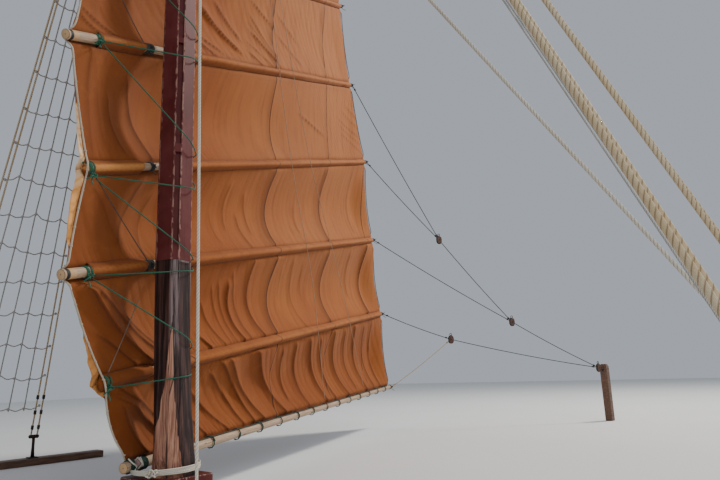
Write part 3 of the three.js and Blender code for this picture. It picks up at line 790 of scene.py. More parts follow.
def canvas_finish():
    """Rust-brown canvas: cloths sewn side by side, sun-faded in patches, streaked down the folds, with
    painted light and shade by place and where marked.
    """
    finish = Finish("rust_canvas")
    place = finish.surface_place()
    aft = finish.split(place, 0)
    fade = finish.noise(place, 0.6, 3.0)
    streak = finish.noise(finish.surface_place((9.0, 0.9, 1.0)), 1.0, 5.0, 0.6)
    blotch = finish.noise(place, 4.5, 5.0, 0.65)
    up = finish.split(place, 1)
    colour = finish.mix(finish.step(fade, 0.35, 0.7), (0.270, 0.068, 0.009), (0.325, 0.095, 0.015))
    # Painted light aft of the mast and higher up, painted shade ahead of the mast, and darker toward the foot
    painted_light_aft = finish.step(aft, 0.4, 4.5) * finish.step(up, 1.2, 3.6)
    colour = finish.mix(painted_light_aft * 0.50, colour, (0.410, 0.150, 0.046))
    colour = finish.mix((1.0 - finish.step(aft, -0.5, 0.8)) * 0.35, colour, (0.150, 0.032, 0.003))
    colour = finish.mix((1.0 - finish.step(up, 0.4, 2.8)) * 0.35, colour, (0.160, 0.038, 0.005))
    colour = finish.mix(finish.step(streak, 0.45, 0.75) * 0.45, colour, (0.190, 0.046, 0.007))
    colour = finish.mix(finish.step(blotch, 0.52, 0.8) * 0.25, colour, (0.43, 0.150, 0.038))
    seam = ((aft - SEAM_AFT) / CLOTH_WIDTH + 0.5).fraction() - 0.5
    seam = seam * CLOTH_WIDTH
    dark_seam = 1.0 - finish.step(seam.size(), 0.009, 0.017)
    # The strip beside each seam is raised in the bump and given a painted highlight
    lit_flap = finish.step(seam, 0.012, 0.018) * (1.0 - finish.step(seam, 0.040, 0.048))
    colour = finish.mix(dark_seam * 0.85, colour, (0.045, 0.012, 0.005))
    colour = finish.mix(lit_flap * 0.30, colour, (0.43, 0.145, 0.035))
    # The mark paints the cloth's light and shade: over 0 painted shade, under 0 painted light, up to cream on
    # the loose luff edge
    mark = finish.mark()
    colour = finish.mix(mark.most(0.0), colour, (0.085, 0.021, 0.005))
    pale = (mark * -1.0).most(0.0)
    colour = finish.mix(pale.least(1.0), colour, (0.80, 0.37, 0.11))
    colour = finish.mix((pale - 1.0).most(0.0), colour, (0.86, 0.66, 0.44))
    thread = {"Vector": place, "Scale": 90.0, "Distortion": 0.6, "Detail": 1.0}
    weave, weft = (finish.node("ShaderNodeTexWave", {"wave_type": "BANDS", "bands_direction": way}, thread)
                   for way in "XY")
    crease = finish.noise(finish.surface_place((14.0, 3.0, 1.0)), 1.0, 4.0, 0.5)
    height = (weave + weft) * 0.10 + crease - dark_seam * 0.9 + lit_flap * 0.5
    normal = finish.bump(height, 0.004, 0.55)
    rough = 0.80 + blotch * 0.12
    return finish.surface(colour, rough, normal, Sheen_Weight=0.04, Sheen_Roughness=0.5,
                          Specular_IOR_Level=0.22)


def paint_finish(name, colour, worn_colour, chip_colour, sheen_rough):
    """Old paint on planks: faded in patches, scratched upright, chipped to pale wood where marked."""
    finish = Finish(name)
    place = finish.object_place()
    fade = finish.noise(place, 1.6, 5.0, 0.6)
    scratch = finish.noise(finish.object_place((26.0, 26.0, 1.3)), 1.0, 5.0, 0.65)
    chips = finish.noise(finish.object_place((1.0, 1.0, 0.35)), 38.0, 4.0, 0.6)
    speck = finish.cells(place, 34.0)
    tone = finish.mix(finish.step(fade, 0.3, 0.72), colour, worn_colour)
    tone = finish.mix(finish.step(scratch, 0.5, 0.78) * 0.55, tone, tuple(0.45 * part for part in colour))
    chipped = finish.step(finish.mark() * 0.30 + chips, 0.74, 0.80)
    tone = finish.mix(chipped * 0.85, tone, chip_colour)
    fleck = (1.0 - finish.step(speck, 0.06, 0.10)) * finish.step(fade, 0.5, 0.62)
    tone = finish.mix(fleck * 0.7, tone, chip_colour)
    height = scratch * 0.5 + chips * 0.3 - chipped * 0.8
    normal = finish.bump(height, 0.0025, 0.6)
    rough = sheen_rough + fade * 0.18 + chipped * 0.2
    return finish.surface(tone, rough, normal, Specular_IOR_Level=0.20)


def mast_finish():
    """Dark varnished timber, streaky, with grey streaks of painted sheen that are brighter where marked under
    0, with bare warm wood where marked over 0, and drying cracks."""
    finish = Finish("hewn_mast")
    streak = finish.noise(finish.object_place((22.0, 22.0, 0.8)), 1.0, 6.0, 0.62)
    fine = finish.noise(finish.object_place((90.0, 90.0, 2.6)), 1.0, 5.0, 0.6)
    patch = finish.noise(finish.object_place((3.0, 3.0, 1.2)), 1.0, 4.0, 0.6)
    crack = finish.cells(finish.object_place((15.0, 15.0, 0.55)), 1.0, "DISTANCE_TO_EDGE")
    mark = finish.mark()
    tone = finish.mix(finish.step(streak, 0.40, 0.66), (0.018, 0.007, 0.005), (0.125, 0.056, 0.045))
    # Painted sheen: light grey streaks, brighter where marked under 0
    painted_sheen = finish.step(fine, 0.55, 0.75) * finish.step(patch, 0.4, 0.65) * 0.6
    tone = finish.mix(painted_sheen, tone, (0.220, 0.150, 0.145))
    tone = finish.mix(finish.step(fine, 0.62, 0.40) * 0.4, tone, (0.012, 0.007, 0.007))
    bright = finish.step(fine + (streak - 0.5) * 0.6, 0.38, 0.60) * (mark * -1.0).most(0.0)
    tone = finish.mix(bright * 0.75, tone, (0.300, 0.215, 0.205))
    bare = finish.mix(finish.step(fine, 0.35, 0.65), (0.260, 0.100, 0.062), (0.540, 0.275, 0.180))
    bare = finish.mix(finish.step(streak, 0.52, 0.70) * 0.6, bare, (0.060, 0.026, 0.018))
    worn = finish.step(mark + (fine - 0.5) * 0.5 + (streak - 0.5) * 0.6, 0.42, 0.60)
    tone = finish.mix(worn, tone, bare)
    split = 1.0 - finish.step(crack, 0.004, 0.020)
    tone = finish.mix(split * 0.8, tone, (0.006, 0.004, 0.004))
    height = streak * 0.6 + fine * 0.5 - split * 1.2 - worn * 0.2
    normal = finish.bump(height, 0.0035, 0.7)
    rough = 0.40 + fine * 0.25 + worn * 0.25
    return finish.surface(tone, rough, normal, Specular_IOR_Level=0.30)


def pole_finish():
    """Peeled pole: pale, with long grain, grey weather streaks and small knots; marked ends are end grain,
    and marks over one are black tape."""
    finish = Finish("peeled_pole")
    place = finish.surface_place()
    grain = finish.noise(finish.surface_place((3.0, 60.0, 1.0)), 1.0, 5.0, 0.6)
    grey = finish.noise(finish.surface_place((1.1, 9.0, 1.0)), 1.0, 4.0, 0.6)
    knots = finish.cells(finish.surface_place((2.6, 6.0, 1.0)), 1.0)
    tone = finish.mix(finish.step(grain, 0.35, 0.7), (0.33, 0.21, 0.13), (0.60, 0.43, 0.28))
    tone = finish.mix(finish.step(grey, 0.45, 0.7) * 0.5, tone, (0.34, 0.27, 0.22))
    knot_mark = 1.0 - finish.step(knots, 0.05, 0.12)
    tone = finish.mix(knot_mark * 0.8, tone, (0.09, 0.045, 0.025))
    reach = finish.split(place, 0)
    rings = (reach * 1400.0 + finish.noise(place, 60.0) * 3.0).wave() * 0.5 + 0.5
    cut = finish.mix(rings * 0.6, (0.62, 0.40, 0.20), (0.30, 0.15, 0.07))
    cut = finish.mix(finish.step(reach, 0.004, 0.007), (0.03, 0.018, 0.012), cut)
    mark = finish.mark()
    is_end = finish.step(mark, 0.4, 0.6) * (1.0 - finish.step(mark, 1.4, 1.6))
    taped = finish.step(mark, 1.4, 1.6)
    tone = finish.mix(is_end, tone, cut)
    tone = finish.mix(taped, tone, (0.012, 0.012, 0.013))
    height = grain * 0.6 + knot_mark * 0.8
    normal = finish.bump(height, 0.002, 0.5)
    return finish.surface(tone, 0.55 + grain * 0.25, normal)


def rope_finish(name, colour, shade, worn):
    """Twisted fibre: painted shade in the grooves between its strands, which lie where the cosine of the
    turns around less the pitches along is 0, with fine hairs and worn patches."""
    finish = Finish(name)
    place = finish.surface_place()
    twist = (finish.split(place, 1) - finish.split(place, 0)) * (STRANDS * math.pi)
    groove = 1.0 - twist.math("COSINE").size()
    fibre = finish.noise(finish.surface_place((10.0, 22.0, 1.0)), 1.0, 3.0, 0.6)
    patch = finish.noise(finish.surface_place((0.2, 0.7, 1.0)), 1.0, 3.0)
    tone = finish.mix(finish.step(patch, 0.35, 0.7) * 0.7, colour, worn)
    # Painted shade in the grooves between strands
    tone = finish.mix(finish.step(groove, 0.35, 0.95) * 0.75, tone, shade)
    tone = finish.mix(finish.step(fibre, 0.5, 0.8) * 0.4, tone, shade)
    normal = finish.bump(fibre * 0.4 - groove, 0.0018, 0.7)
    return finish.surface(tone, 0.85, normal, Sheen_Weight=0.15, Specular_IOR_Level=0.3)


def wood_finish(name, dark, light, rough):
    """Varnished hardwood with long grain on the part's own axes, darker in its pores."""
    finish = Finish(name)
    grain = finish.noise(finish.object_place((4.0, 30.0, 30.0)), 1.0, 6.0, 0.65, 0.4)
    pore = finish.noise(finish.object_place((16.0, 120.0, 120.0)), 1.0, 3.0, 0.6)
    wear = finish.noise(finish.object_place(), 2.2, 4.0)
    tone = finish.mix(finish.step(grain, 0.35, 0.68), dark, light)
    tone = finish.mix(finish.step(pore, 0.5, 0.75) * 0.5, tone, tuple(0.4 * part for part in dark))
    tone = finish.mix(finish.step(finish.mark() + wear * 0.6, 1.05, 1.25) * 0.6, tone, (0.42, 0.33, 0.25))
    normal = finish.bump(grain * 0.6 + pore * 0.5, 0.002, 0.5)
    return finish.surface(tone, rough + wear * 0.2, normal)


def iron_finish():
    """Black painted iron with rust at the edges of the paint."""
    finish = Finish("black_iron")
    place = finish.object_place()
    patch = finish.noise(place, 9.0, 5.0, 0.65)
    grit = finish.noise(place, 90.0, 3.0)
    rust = finish.step(patch, 0.54, 0.66)
    tone = finish.mix(rust * 0.8, (0.022, 0.022, 0.024), (0.105, 0.038, 0.016))
    normal = finish.bump(patch * 0.4 + grit * 0.4, 0.0015, 0.6)
    return finish.surface(tone, 0.42 + rust * 0.4, normal, Metallic=0.6)


def floor_finish():
    finish = Finish("pale_floor")
    cloud = finish.noise(finish.object_place(), 0.35, 3.0)
    tone = finish.mix(cloud, (0.70, 0.70, 0.69), (0.76, 0.76, 0.75))
    return finish.surface(tone, 0.85)


CANVAS = canvas_finish()
MAROON = paint_finish("maroon_paint", (0.085, 0.011, 0.010), (0.150, 0.036, 0.034), (0.36, 0.19, 0.15), 0.52)
BOX_PAINT = paint_finish("box_paint", (0.075, 0.012, 0.010), (0.115, 0.028, 0.022), (0.34, 0.22, 0.17), 0.45)
HEWN = mast_finish()
POLE = pole_finish()
DARK_GREEN_ROPE = rope_finish("dark_green_rope", (0.010, 0.045, 0.030), (0.003, 0.012, 0.009),
                              (0.020, 0.062, 0.045))
GREEN_ROPE = rope_finish("green_rope", (0.012, 0.130, 0.070), (0.002, 0.026, 0.016), (0.030, 0.170, 0.105))
PALE_ROPE = rope_finish("pale_rope", (0.62, 0.47, 0.27), (0.22, 0.13, 0.060), (0.70, 0.60, 0.44))
WHITE_ROPE = rope_finish("white_rope", (0.72, 0.67, 0.57), (0.30, 0.25, 0.18), (0.62, 0.55, 0.42))
DULL_ROPE = rope_finish("dull_rope", (0.17, 0.115, 0.08), (0.05, 0.03, 0.02), (0.24, 0.17, 0.12))
OLD_ROPE = rope_finish("old_rope", (0.58, 0.51, 0.40), (0.20, 0.15, 0.10), (0.40, 0.32, 0.22))
GREY_ROPE = rope_finish("grey_rope", (0.44, 0.42, 0.38), (0.15, 0.14, 0.12), (0.56, 0.54, 0.50))
BROWN_ROPE = rope_finish("brown_rope", (0.36, 0.24, 0.15), (0.12, 0.07, 0.04), (0.46, 0.34, 0.24))
DARK_ROPE = rope_finish("dark_rope", (0.035, 0.035, 0.034), (0.010, 0.010, 0.010), (0.085, 0.082, 0.078))
BLOCK_WOOD = wood_finish("block_wood", (0.060, 0.026, 0.015), (0.135, 0.062, 0.034), 0.38)
CHOCK_WOOD = wood_finish("chock_wood", (0.26, 0.16, 0.14), (0.46, 0.31, 0.28), 0.60)
PLANK_WOOD = wood_finish("plank_wood", (0.090, 0.045, 0.028), (0.190, 0.105, 0.066), 0.50)
IRON = iron_finish()


# Sail cloth

def spar_line(spar, share):
    """Distance aft and height of a spar's centre line at a share of the way from luff to leech."""
    return (blend(spar.luff_aft, spar.leech_aft, share), blend(spar.luff_up, spar.leech_up, share))


def spar_share(spar, aft):
    """Share of the way from luff to leech at a distance aft."""
    return (aft - spar.luff_aft) / (spar.leech_aft - spar.luff_aft)


def spar_up(spar, aft):
    return spar_line(spar, spar_share(spar, aft))[1]


def spar_direction(spar):
    return unit(np.array([spar.leech_aft - spar.luff_aft, 0.0, spar.leech_up - spar.luff_up]))


def bow(rise):
    """How far a panel's cloth is bellied, 0 at its edges and 1 at its deepest, a little under half way up:
    sin(pi v^0.85)^1.15."""
    share = np.clip(rise, 0.0, 1.0) ** BELLY_SKEW
    return np.sin(np.pi * share).clip(0.0) ** BELLY_POWER


def cloth_across(number, along, rise):
    """Distance of the bare cloth behind the mast's middle: the spars' plane, the belly, which stays full
    until close to the leech, and the step behind each pole."""
    panel, lower, upper = PANELS[number - 1], SPARS[number - 1], SPARS[number]
    gap = spar_line(upper, along)[1] - spar_line(lower, along)[1]
    fullness = ease((along + 0.03) / 0.19) * (1.0 - 0.85 * ease((along - 0.93) / 0.07))
    depth = blend(panel.belly_fore, panel.belly_aft, ease((along - 0.25) / 0.5))
    low_step = (lower.radius + CLOTH_GAP) * (1.0 - ease(rise * gap / BEHIND_POLE))
    high_step = (upper.radius + CLOTH_GAP) * (1.0 - ease((1.0 - rise) * gap / BEHIND_POLE))
    return SAIL_ACROSS + bow(rise) * depth * fullness + low_step + high_step


def ridge(turn, seed, rise):
    """Folds that rise steeply from a sharp valley and fall away gently aft: sin(pi f^0.6), with f the share
    of the way from one valley to the next, less its mean, and each fold with a height of its own."""
    own = 0.60 + 0.40 * wander(np.floor(turn) * 1.37 + 7.3, rise * 1.1 + seed, seed + 11)
    return own * (np.sin(np.pi * (turn - np.floor(turn)) ** FOLD_SKEW) - FOLD_MEAN)


def crease_height(number, aft, rise, gap):
    """Sum of a panel's creases, and how dark they are: painted shade over 0 in the groove and before the
    crest, and a painted highlight under 0 on the lit rim. A crease follows a parabola through its three
    places. Across it the cloth rises as exp(x / 0.3) to a sharp crest and falls away aft as exp(-x), with x
    the distance from the crest in reaches."""
    total, groove, rim = np.zeros(aft.shape), np.zeros(aft.shape), np.zeros(aft.shape)
    for seed, crease in enumerate(CREASES):
        if crease.panel != number:
            continue
        tall = crease.high - crease.low
        share = (rise - crease.low) / tall
        sag = crease.middle - 0.5 * (crease.top + crease.foot)
        line = blend(crease.foot, crease.top, share) + 4.0 * sag * share * (1.0 - share)
        line = line + CREASE_WANDER * wander(rise * 5.0, seed * 3.3, 500)
        off = aft - line
        slope = (crease.foot - crease.top - 4.0 * sag * (1.0 - 2.0 * share)) / tall / gap
        square = off / np.sqrt(1.0 + slope ** 2)
        rising = np.exp(np.minimum(off, 0.0) / (CREASE_FALL * crease.reach))
        falling = np.exp(-np.maximum(off, 0.0) / crease.reach)
        stands = band(rise, crease.low + 0.06, crease.high - 0.06, 0.12)
        total += crease.height * stands * rising * falling
        strength = np.clip(crease.height / FULL_CREASE, 0.0, 0.9)
        # Painted shade in the groove and before the crest, and a painted highlight on the rim after it
        line_dark = np.exp(-((square + GROOVE_WIDE) / GROOVE_WIDE) ** 2)
        shaded = GROOVE_SHADE * rising * (off < 0.0)
        groove = np.maximum(groove, strength * stands * np.maximum(line_dark, shaded))
        rim = np.maximum(rim, strength * stands * np.exp(-(square / RIM_WIDE) ** 2) * (off > 0.0))
    return total, np.where(groove > 0.05, groove, -RIM_LIGHT * rim)


def fold_height(number, aft, rise, gap):
    """Sum of a panel's creases, its sets of light folds, and the gathers beside its poles. Each set is a
    ridge whose phase runs along the sail and is sheared down it, wandering a little, and faded at the
    ends of its stretch."""
    total, groove = crease_height(number, aft, rise, gap)
    for seed, folds in enumerate(FOLDS):
        if folds.panel != number:
            continue
        place = aft - folds.run * (1.0 - rise)
        drift = folds.spacing * (0.75 * wander(place / folds.spacing / 2.6, rise * 0.6, seed + 20)
                                 + 0.20 * wander(place / folds.spacing / 1.1, rise * 0.9, seed + 60))
        turn = (place + drift - SEAM_AFT) / folds.spacing
        stands = band(place, folds.start, folds.end, 0.5) * band(rise, folds.low, folds.high, 0.12)
        total += folds.height * stands * ridge(turn, seed, rise)
    total += 0.010 * wander(aft * 1.1, rise * 2.0 + number, 90 + number) * band(rise, 0.15, 0.85, 0.15)
    for side, seed in ((1.0 - rise, 120), (rise, 140)):
        away = side * gap
        place = aft + PUCKER_LEAN * away + 0.04 * wander(aft * 5.0, 0.0, seed)
        pucker = np.abs(np.sin(np.pi * place / PUCKER_SPACING)) ** 0.7 - 0.7
        gathered = ease(wander(aft * 0.8, number * 3.7, seed + number) * 0.8 + 0.55)
        length = PUCKER_REACH * (1.0 + 0.5 * wander(aft * 7.0, number * 1.3, seed + 7))
        fade = np.exp(-(away / length) ** 2)
        total += PUCKER_HEIGHT * gathered * pucker * fade
        # Painted shade in the puckers' valleys
        groove = np.maximum(groove, gathered * np.clip(-0.4 - pucker, 0.0, 0.3) * 3.0 * fade)
    clear = ease((rise * gap - 0.045) / 0.06) * ease(((1.0 - rise) * gap - 0.045) / 0.06)
    return total * clear, groove


def cloth_sheet(name, points, places, marks, replaces=()):
    """A sheet of cloth from a grid of points, thickened evenly, on the sail's body."""
    rows, columns = points.shape[:2]
    row, column = np.meshgrid(np.arange(rows - 1), np.arange(columns - 1), indexing="ij")
    start = row * columns + column
    quads = np.stack([start + 1, start + columns + 1, start + columns, start], axis=-1).reshape(-1, 4)
    corners = places.reshape(-1, 2)[quads]
    skin = Skin().add(points.reshape(-1, 3), [quads], [corners], marks.reshape(-1))
    piece = skin.put(name, CANVAS, "sail", "sailcloth", replaces)
    thick = piece.modifiers.new("thickness", "SOLIDIFY")
    thick.thickness = CLOTH_THICK
    thick.offset = 0.0
    return piece


def panel_edge(number, along, rise):
    """Distance aft and height of a panel's plain cloth: a straight blend between its spars' centre lines,
    hollowed at luff and leech, with the tack of the lowest panel drawn aft as (1 - rise)^3."""
    low_aft, low_up = spar_line(SPARS[number - 1], along)
    high_aft, high_up = spar_line(SPARS[number], along)
    near_luff = (1.0 - along) ** 3
    hollow = near_luff * PANELS[number - 1].luff_hollow - along ** 3 * LEECH_HOLLOW
    aft = blend(low_aft, high_aft, rise) + bow(rise) * hollow
    if number == 1:
        aft = aft + TACK_SHIFT * near_luff ** 3 * (1.0 - rise) ** 3
    return aft, blend(low_up, high_up, rise)


def sail_panel(number, lower, upper):
    """Cloth between two spars, bellied away, stepped behind the poles, and folded. Ahead of the luff rope a
    loose edge is ruffled and hangs a little."""
    panel, edge_shape = PANELS[number - 1], LOOSE_EDGES[number - 1]
    even = np.linspace(0.0, 1.0, panel.columns)
    along = np.concatenate([np.zeros(FLANGE_STEPS), 0.65 * even + 0.35 * even ** 2])[None, :]
    flange = np.linspace(1.0, 0.0, FLANGE_STEPS, endpoint=False)
    loose = np.concatenate([flange, np.zeros(panel.columns)])[None, :]
    level = np.linspace(0.0, 1.0, panel.rows + 1)
    rise = (0.5 * level + 0.5 * (0.5 - 0.5 * np.cos(np.pi * level)))[:, None]
    gap = spar_line(upper, along)[1] - spar_line(lower, along)[1]
    aft, up = panel_edge(number, along, rise)
    ruffle = wander(rise * 9.0, 0.4, number + 200)
    width = np.interp(rise, edge_shape.shares, edge_shape.widths) * (0.92 + 0.12 * ruffle)
    aft = aft - loose * width
    up = up - 0.30 * loose * width
    folds, groove = fold_height(number, aft, rise, gap)
    flutter = wander((rise + 0.6 * loose * width) * 16.0, loose * 1.3, number + 230)
    edge = 0.022 * loose * flutter * (width > 0.02)
    across = cloth_across(number, along, rise) - folds - edge
    points = sail_place(aft, across, up)
    places = np.stack(np.broadcast_arrays(aft, up), axis=-1)
    # Painted shade beside the poles and in fold valleys and creases; painted light on crease rims and the
    # loose edge
    near_pole = np.exp(-(rise * gap / 0.10) ** 2) + np.exp(-((1.0 - rise) * gap / 0.14) ** 2)
    marks = np.clip(near_pole * 0.20 - folds * 6.0, 0.0, 0.50) + np.zeros(aft.shape)
    marks = np.where(groove < 0.0, 0.5 * marks + groove, np.maximum(marks, groove))
    ruffle_shade = np.clip(np.sin((up - 0.8 * aft) * 62.0 + 2.5 * ruffle), 0.0, 1.0) ** 2
    pale = panel.pale + edge_shape.cream * ease((rise - 0.7) / 0.3)
    marks = np.where((loose > 0.15) & (width > 0.02), -pale * (1.0 - 0.35 * ruffle_shade), marks)
    return cloth_sheet("cloth_%d" % number, points, places, marks, ["sail_panel_%d" % number])


def pocket(spar, index, number, start, end):
    """Sleeve over a pole, on the near side. Its section is a circle round the pole with a straight run on
    either side from the tangent point, at reach squared over height, to the hem."""
    columns = max(12, int((end - start) / 0.026))
    aft = np.linspace(start, end, columns)[None, :]
    share = spar_share(spar, aft)
    reach = blend(spar.radius, spar.tip, share) + CLOTH_GAP
    level = np.linspace(-1.0, 1.0, 13)[:, None]
    level = np.sign(level) * np.abs(level) ** 0.9
    height = reach + HEM + 0.006 * wander(aft * 3.0, np.sign(level) * 2.0 + index, 300)
    closing = ease((aft - start) / 0.05) ** 0.5 if start < spar.luff_aft - spar.fore else 1.0
    offset = level * height
    touch = reach ** 2 / height
    out = np.clip((np.abs(offset) - touch) / (height - touch), 0.0, 1.0)
    round_part = np.sqrt(np.maximum(reach ** 2 - np.minimum(np.abs(offset), touch) ** 2, 0.0))
    hems = []
    for side, panel in ((-1, index), (1, index + 1)):
        gap = spar_line(SPARS[panel], share)[1] - spar_line(SPARS[panel - 1], share)[1]
        rise = height[-1] / gap if side > 0 else 1.0 - height[0] / gap
        hems.append(cloth_across(panel, share, rise) - CLOTH_GAP * 0.8)
    hem = np.where(level < 0, hems[0], hems[1])
    gathered = ease(wander(aft * 0.7, index * 1.9, 310) + 0.6)
    place = aft - 0.45 * offset + 0.02 * wander(aft * 5.0, 0.0, 320)
    pucker = np.abs(np.sin(np.pi * place / GATHER_SPACING)) - 0.6
    ripple = 0.009 * pucker * (0.4 + 0.6 * gathered) * (0.15 + 0.85 * out) * (1.0 - out ** 6)
    across = blend(SAIL_ACROSS - round_part * closing, hem, out) - ripple
    offset = offset * (0.15 + 0.85 * closing)
    across = across - 0.005 * (0.6 + wander(aft * 2.3, level * 1.5, 330 + index)) * (1.0 - out)
    points = sail_place(aft, across, spar_up(spar, aft) + offset)
    places = np.stack(np.broadcast_arrays(aft, SLEEVE_PLACE + index * 2.0 + offset * 1.6), axis=-1)
    line = 0.15 * np.exp(-((np.abs(level) - 0.88) / 0.05) ** 2)
    # Painted shade on the lower half and in the puckers, and painted light across the middle, most ahead of
    # the mast
    under = np.where(level < 0, 0.42 * np.abs(level), 0.0)
    shade = under + np.clip(-0.25 - pucker, 0.0, 0.35) * (0.35 + 0.65 * out)
    painted_sleeve_light = SLEEVE_LIGHT.get(spar.name, 0.10) * (1.0 - ease((aft + 0.2) / 0.6)) + 0.06
    shade = line + shade - painted_sleeve_light * band(level, -0.35, 0.15, 0.45)
    return cloth_sheet("pocket_%s_%d" % (spar.name, number), points, places, shade + np.zeros_like(across))


def pole_skin(spar):
    """A tapered pole with rounded ends, a little out of round, with its grain along it."""
    run = spar_direction(spar)
    first = np.array([spar.luff_aft, SAIL_ACROSS, spar.luff_up]) - run * spar.fore
    last = np.array([spar.leech_aft, SAIL_ACROSS, spar.leech_up]) + run * SPAR_RUN_OUT
    share = np.concatenate([[0.0, 0.0005, 0.0012], np.linspace(0.003, 0.997, 64), [0.9992, 1.0]])
    is_end = (share < 0.0005) | (share > 0.9995)
    radius = blend(spar.radius, spar.tip, share) * (1.0 + 0.02 * wander(share * 22.0, spar.luff_up, 400))
    radius = radius * np.where(is_end, 0.90, 1.0)
    path = blend(first, last, share[:, None])
    rings, _ = sweep(path, 1.0, POLE_SIDES)
    rings = path[:, None] + (rings - path[:, None]) * radius[:, None, None]
    reach = share * np.linalg.norm(last - first)
    taped = (np.abs(reach - TAPE_IN) < TAPE_HALF) & (spar.name not in ("yard", "boom"))
    marks = np.where(is_end, 1.0, np.where(taped, 2.0, 0.0))[:, None]
    around = np.arange(POLE_SIDES + 1) / POLE_SIDES * 2.0 * np.pi * spar.radius
    return Skin().loft(to_part(rings), reach, around, np.repeat(marks, POLE_SIDES, axis=1))


def sail_cloth():
    for number, (lower, upper) in enumerate(zip(SPARS, SPARS[1:]), start=1):
        sail_panel(number, lower, upper)
    for index, spar in enumerate(SPARS):
        pole_skin(spar).put("pole_" + spar.name, POLE, "sail", "pale_pole", [spar.name])
        for number, (start, end) in enumerate(SLEEVES[spar.name], start=1):
            pocket(spar, index, number, start, end)


# Mast

def eight_sided(half, cut, angle, sharp=46.0):
    """Reach of a square with cut corners at an angle: the soft least of its faces' distances."""
    half, cut = np.asarray(half)[:, None], np.asarray(cut)[:, None]
    total = np.zeros((half.shape[0], len(angle)))
    for face in range(8):
        distance = half if face % 2 == 0 else (2.0 * half - cut) / math.sqrt(2.0)
        total += (np.clip(np.cos(angle - face * np.pi / 4.0), 0.0, 1.0)[None, :] / distance) ** sharp
    return total ** (-1.0 / sharp)


def lower_mast():
    """Hewn lower mast: eight-sided sections that grow and lean toward the foot, dressed with an adze."""
    up = np.linspace(0.0, SHEATH["low"] - 0.001, 96)
    sections = np.array(LOWER_SECTIONS).T
    half, cut, lean = (np.interp(up, sections[0], row) for row in sections[1:])
    angle = np.arange(HEWN_SIDES) / HEWN_SIDES * 2.0 * np.pi
    reach = eight_sided(half, cut, angle)
    reach = reach + 0.0022 * wander(angle[None, :] * 3.5, up[:, None] * 5.0, 500)
    reach = reach - 0.003 * ease(wander(angle[None, :] * 9.0, up[:, None] * 0.9, 510) * 2.0 - 1.0)
    from_view = ((np.degrees(angle) + FACE_TURN - VIEW_ANGLE + 180.0) % 360.0 - 180.0)[None, :]
    low = up[:, None]
    hewn_off = ease((0.60 - low) / 0.20) * band(from_view, -78.0, -32.0, 16.0) * band(low, 0.39, 1.0, 0.01)
    reach = reach - 0.050 * hewn_off
    x, y = turned(reach * np.cos(angle), reach * np.sin(angle), math.radians(FACE_TURN))
    toward = math.radians(FLARE_TOWARD)
    x = x + lean[:, None] * math.cos(toward)
    y = y + lean[:, None] * math.sin(toward)
    left, right = (np.interp(up, *np.array(edge).T)[:, None] for edge in (BARE_LEFT, BARE_RIGHT))
    bare = ease((from_view - left) / 6.0 + 0.5) * (1.0 - ease((from_view - right) / 3.0 + 0.5))
    bare = bare * (1.0 - ease((low - 1.60) / 0.35))
    # A painted shadow: a dark band down the bare wood below about 1 m
    bare = bare * (1.0 - 0.55 * np.exp(-((from_view + 20.0) / 6.0) ** 2) * (1.0 - ease((low - 0.9) / 0.3)))
    from_corner = np.abs(angle % (np.pi / 2.0) - np.pi / 4.0)
    # Painted sheen down the cut corners above about 1.35 m, marked under 0
    painted_sheen = (1.0 - ease((np.degrees(from_corner) - 13.0) / 4.0)) * ease((low - 1.35) / 0.3)
    inside = np.where(bare > 0.05, bare, -painted_sheen)
    rings = np.stack([x, y, np.broadcast_to(up[:, None], x.shape)], axis=-1)
    around = np.arange(HEWN_SIDES + 1) / HEWN_SIDES * 2.0 * np.pi * 0.16
    skin = Skin().loft(rings, up, around, inside)
    skin.put("hewn_lower_mast", HEWN, "mast", "dark_wood", ["mast_lower"])


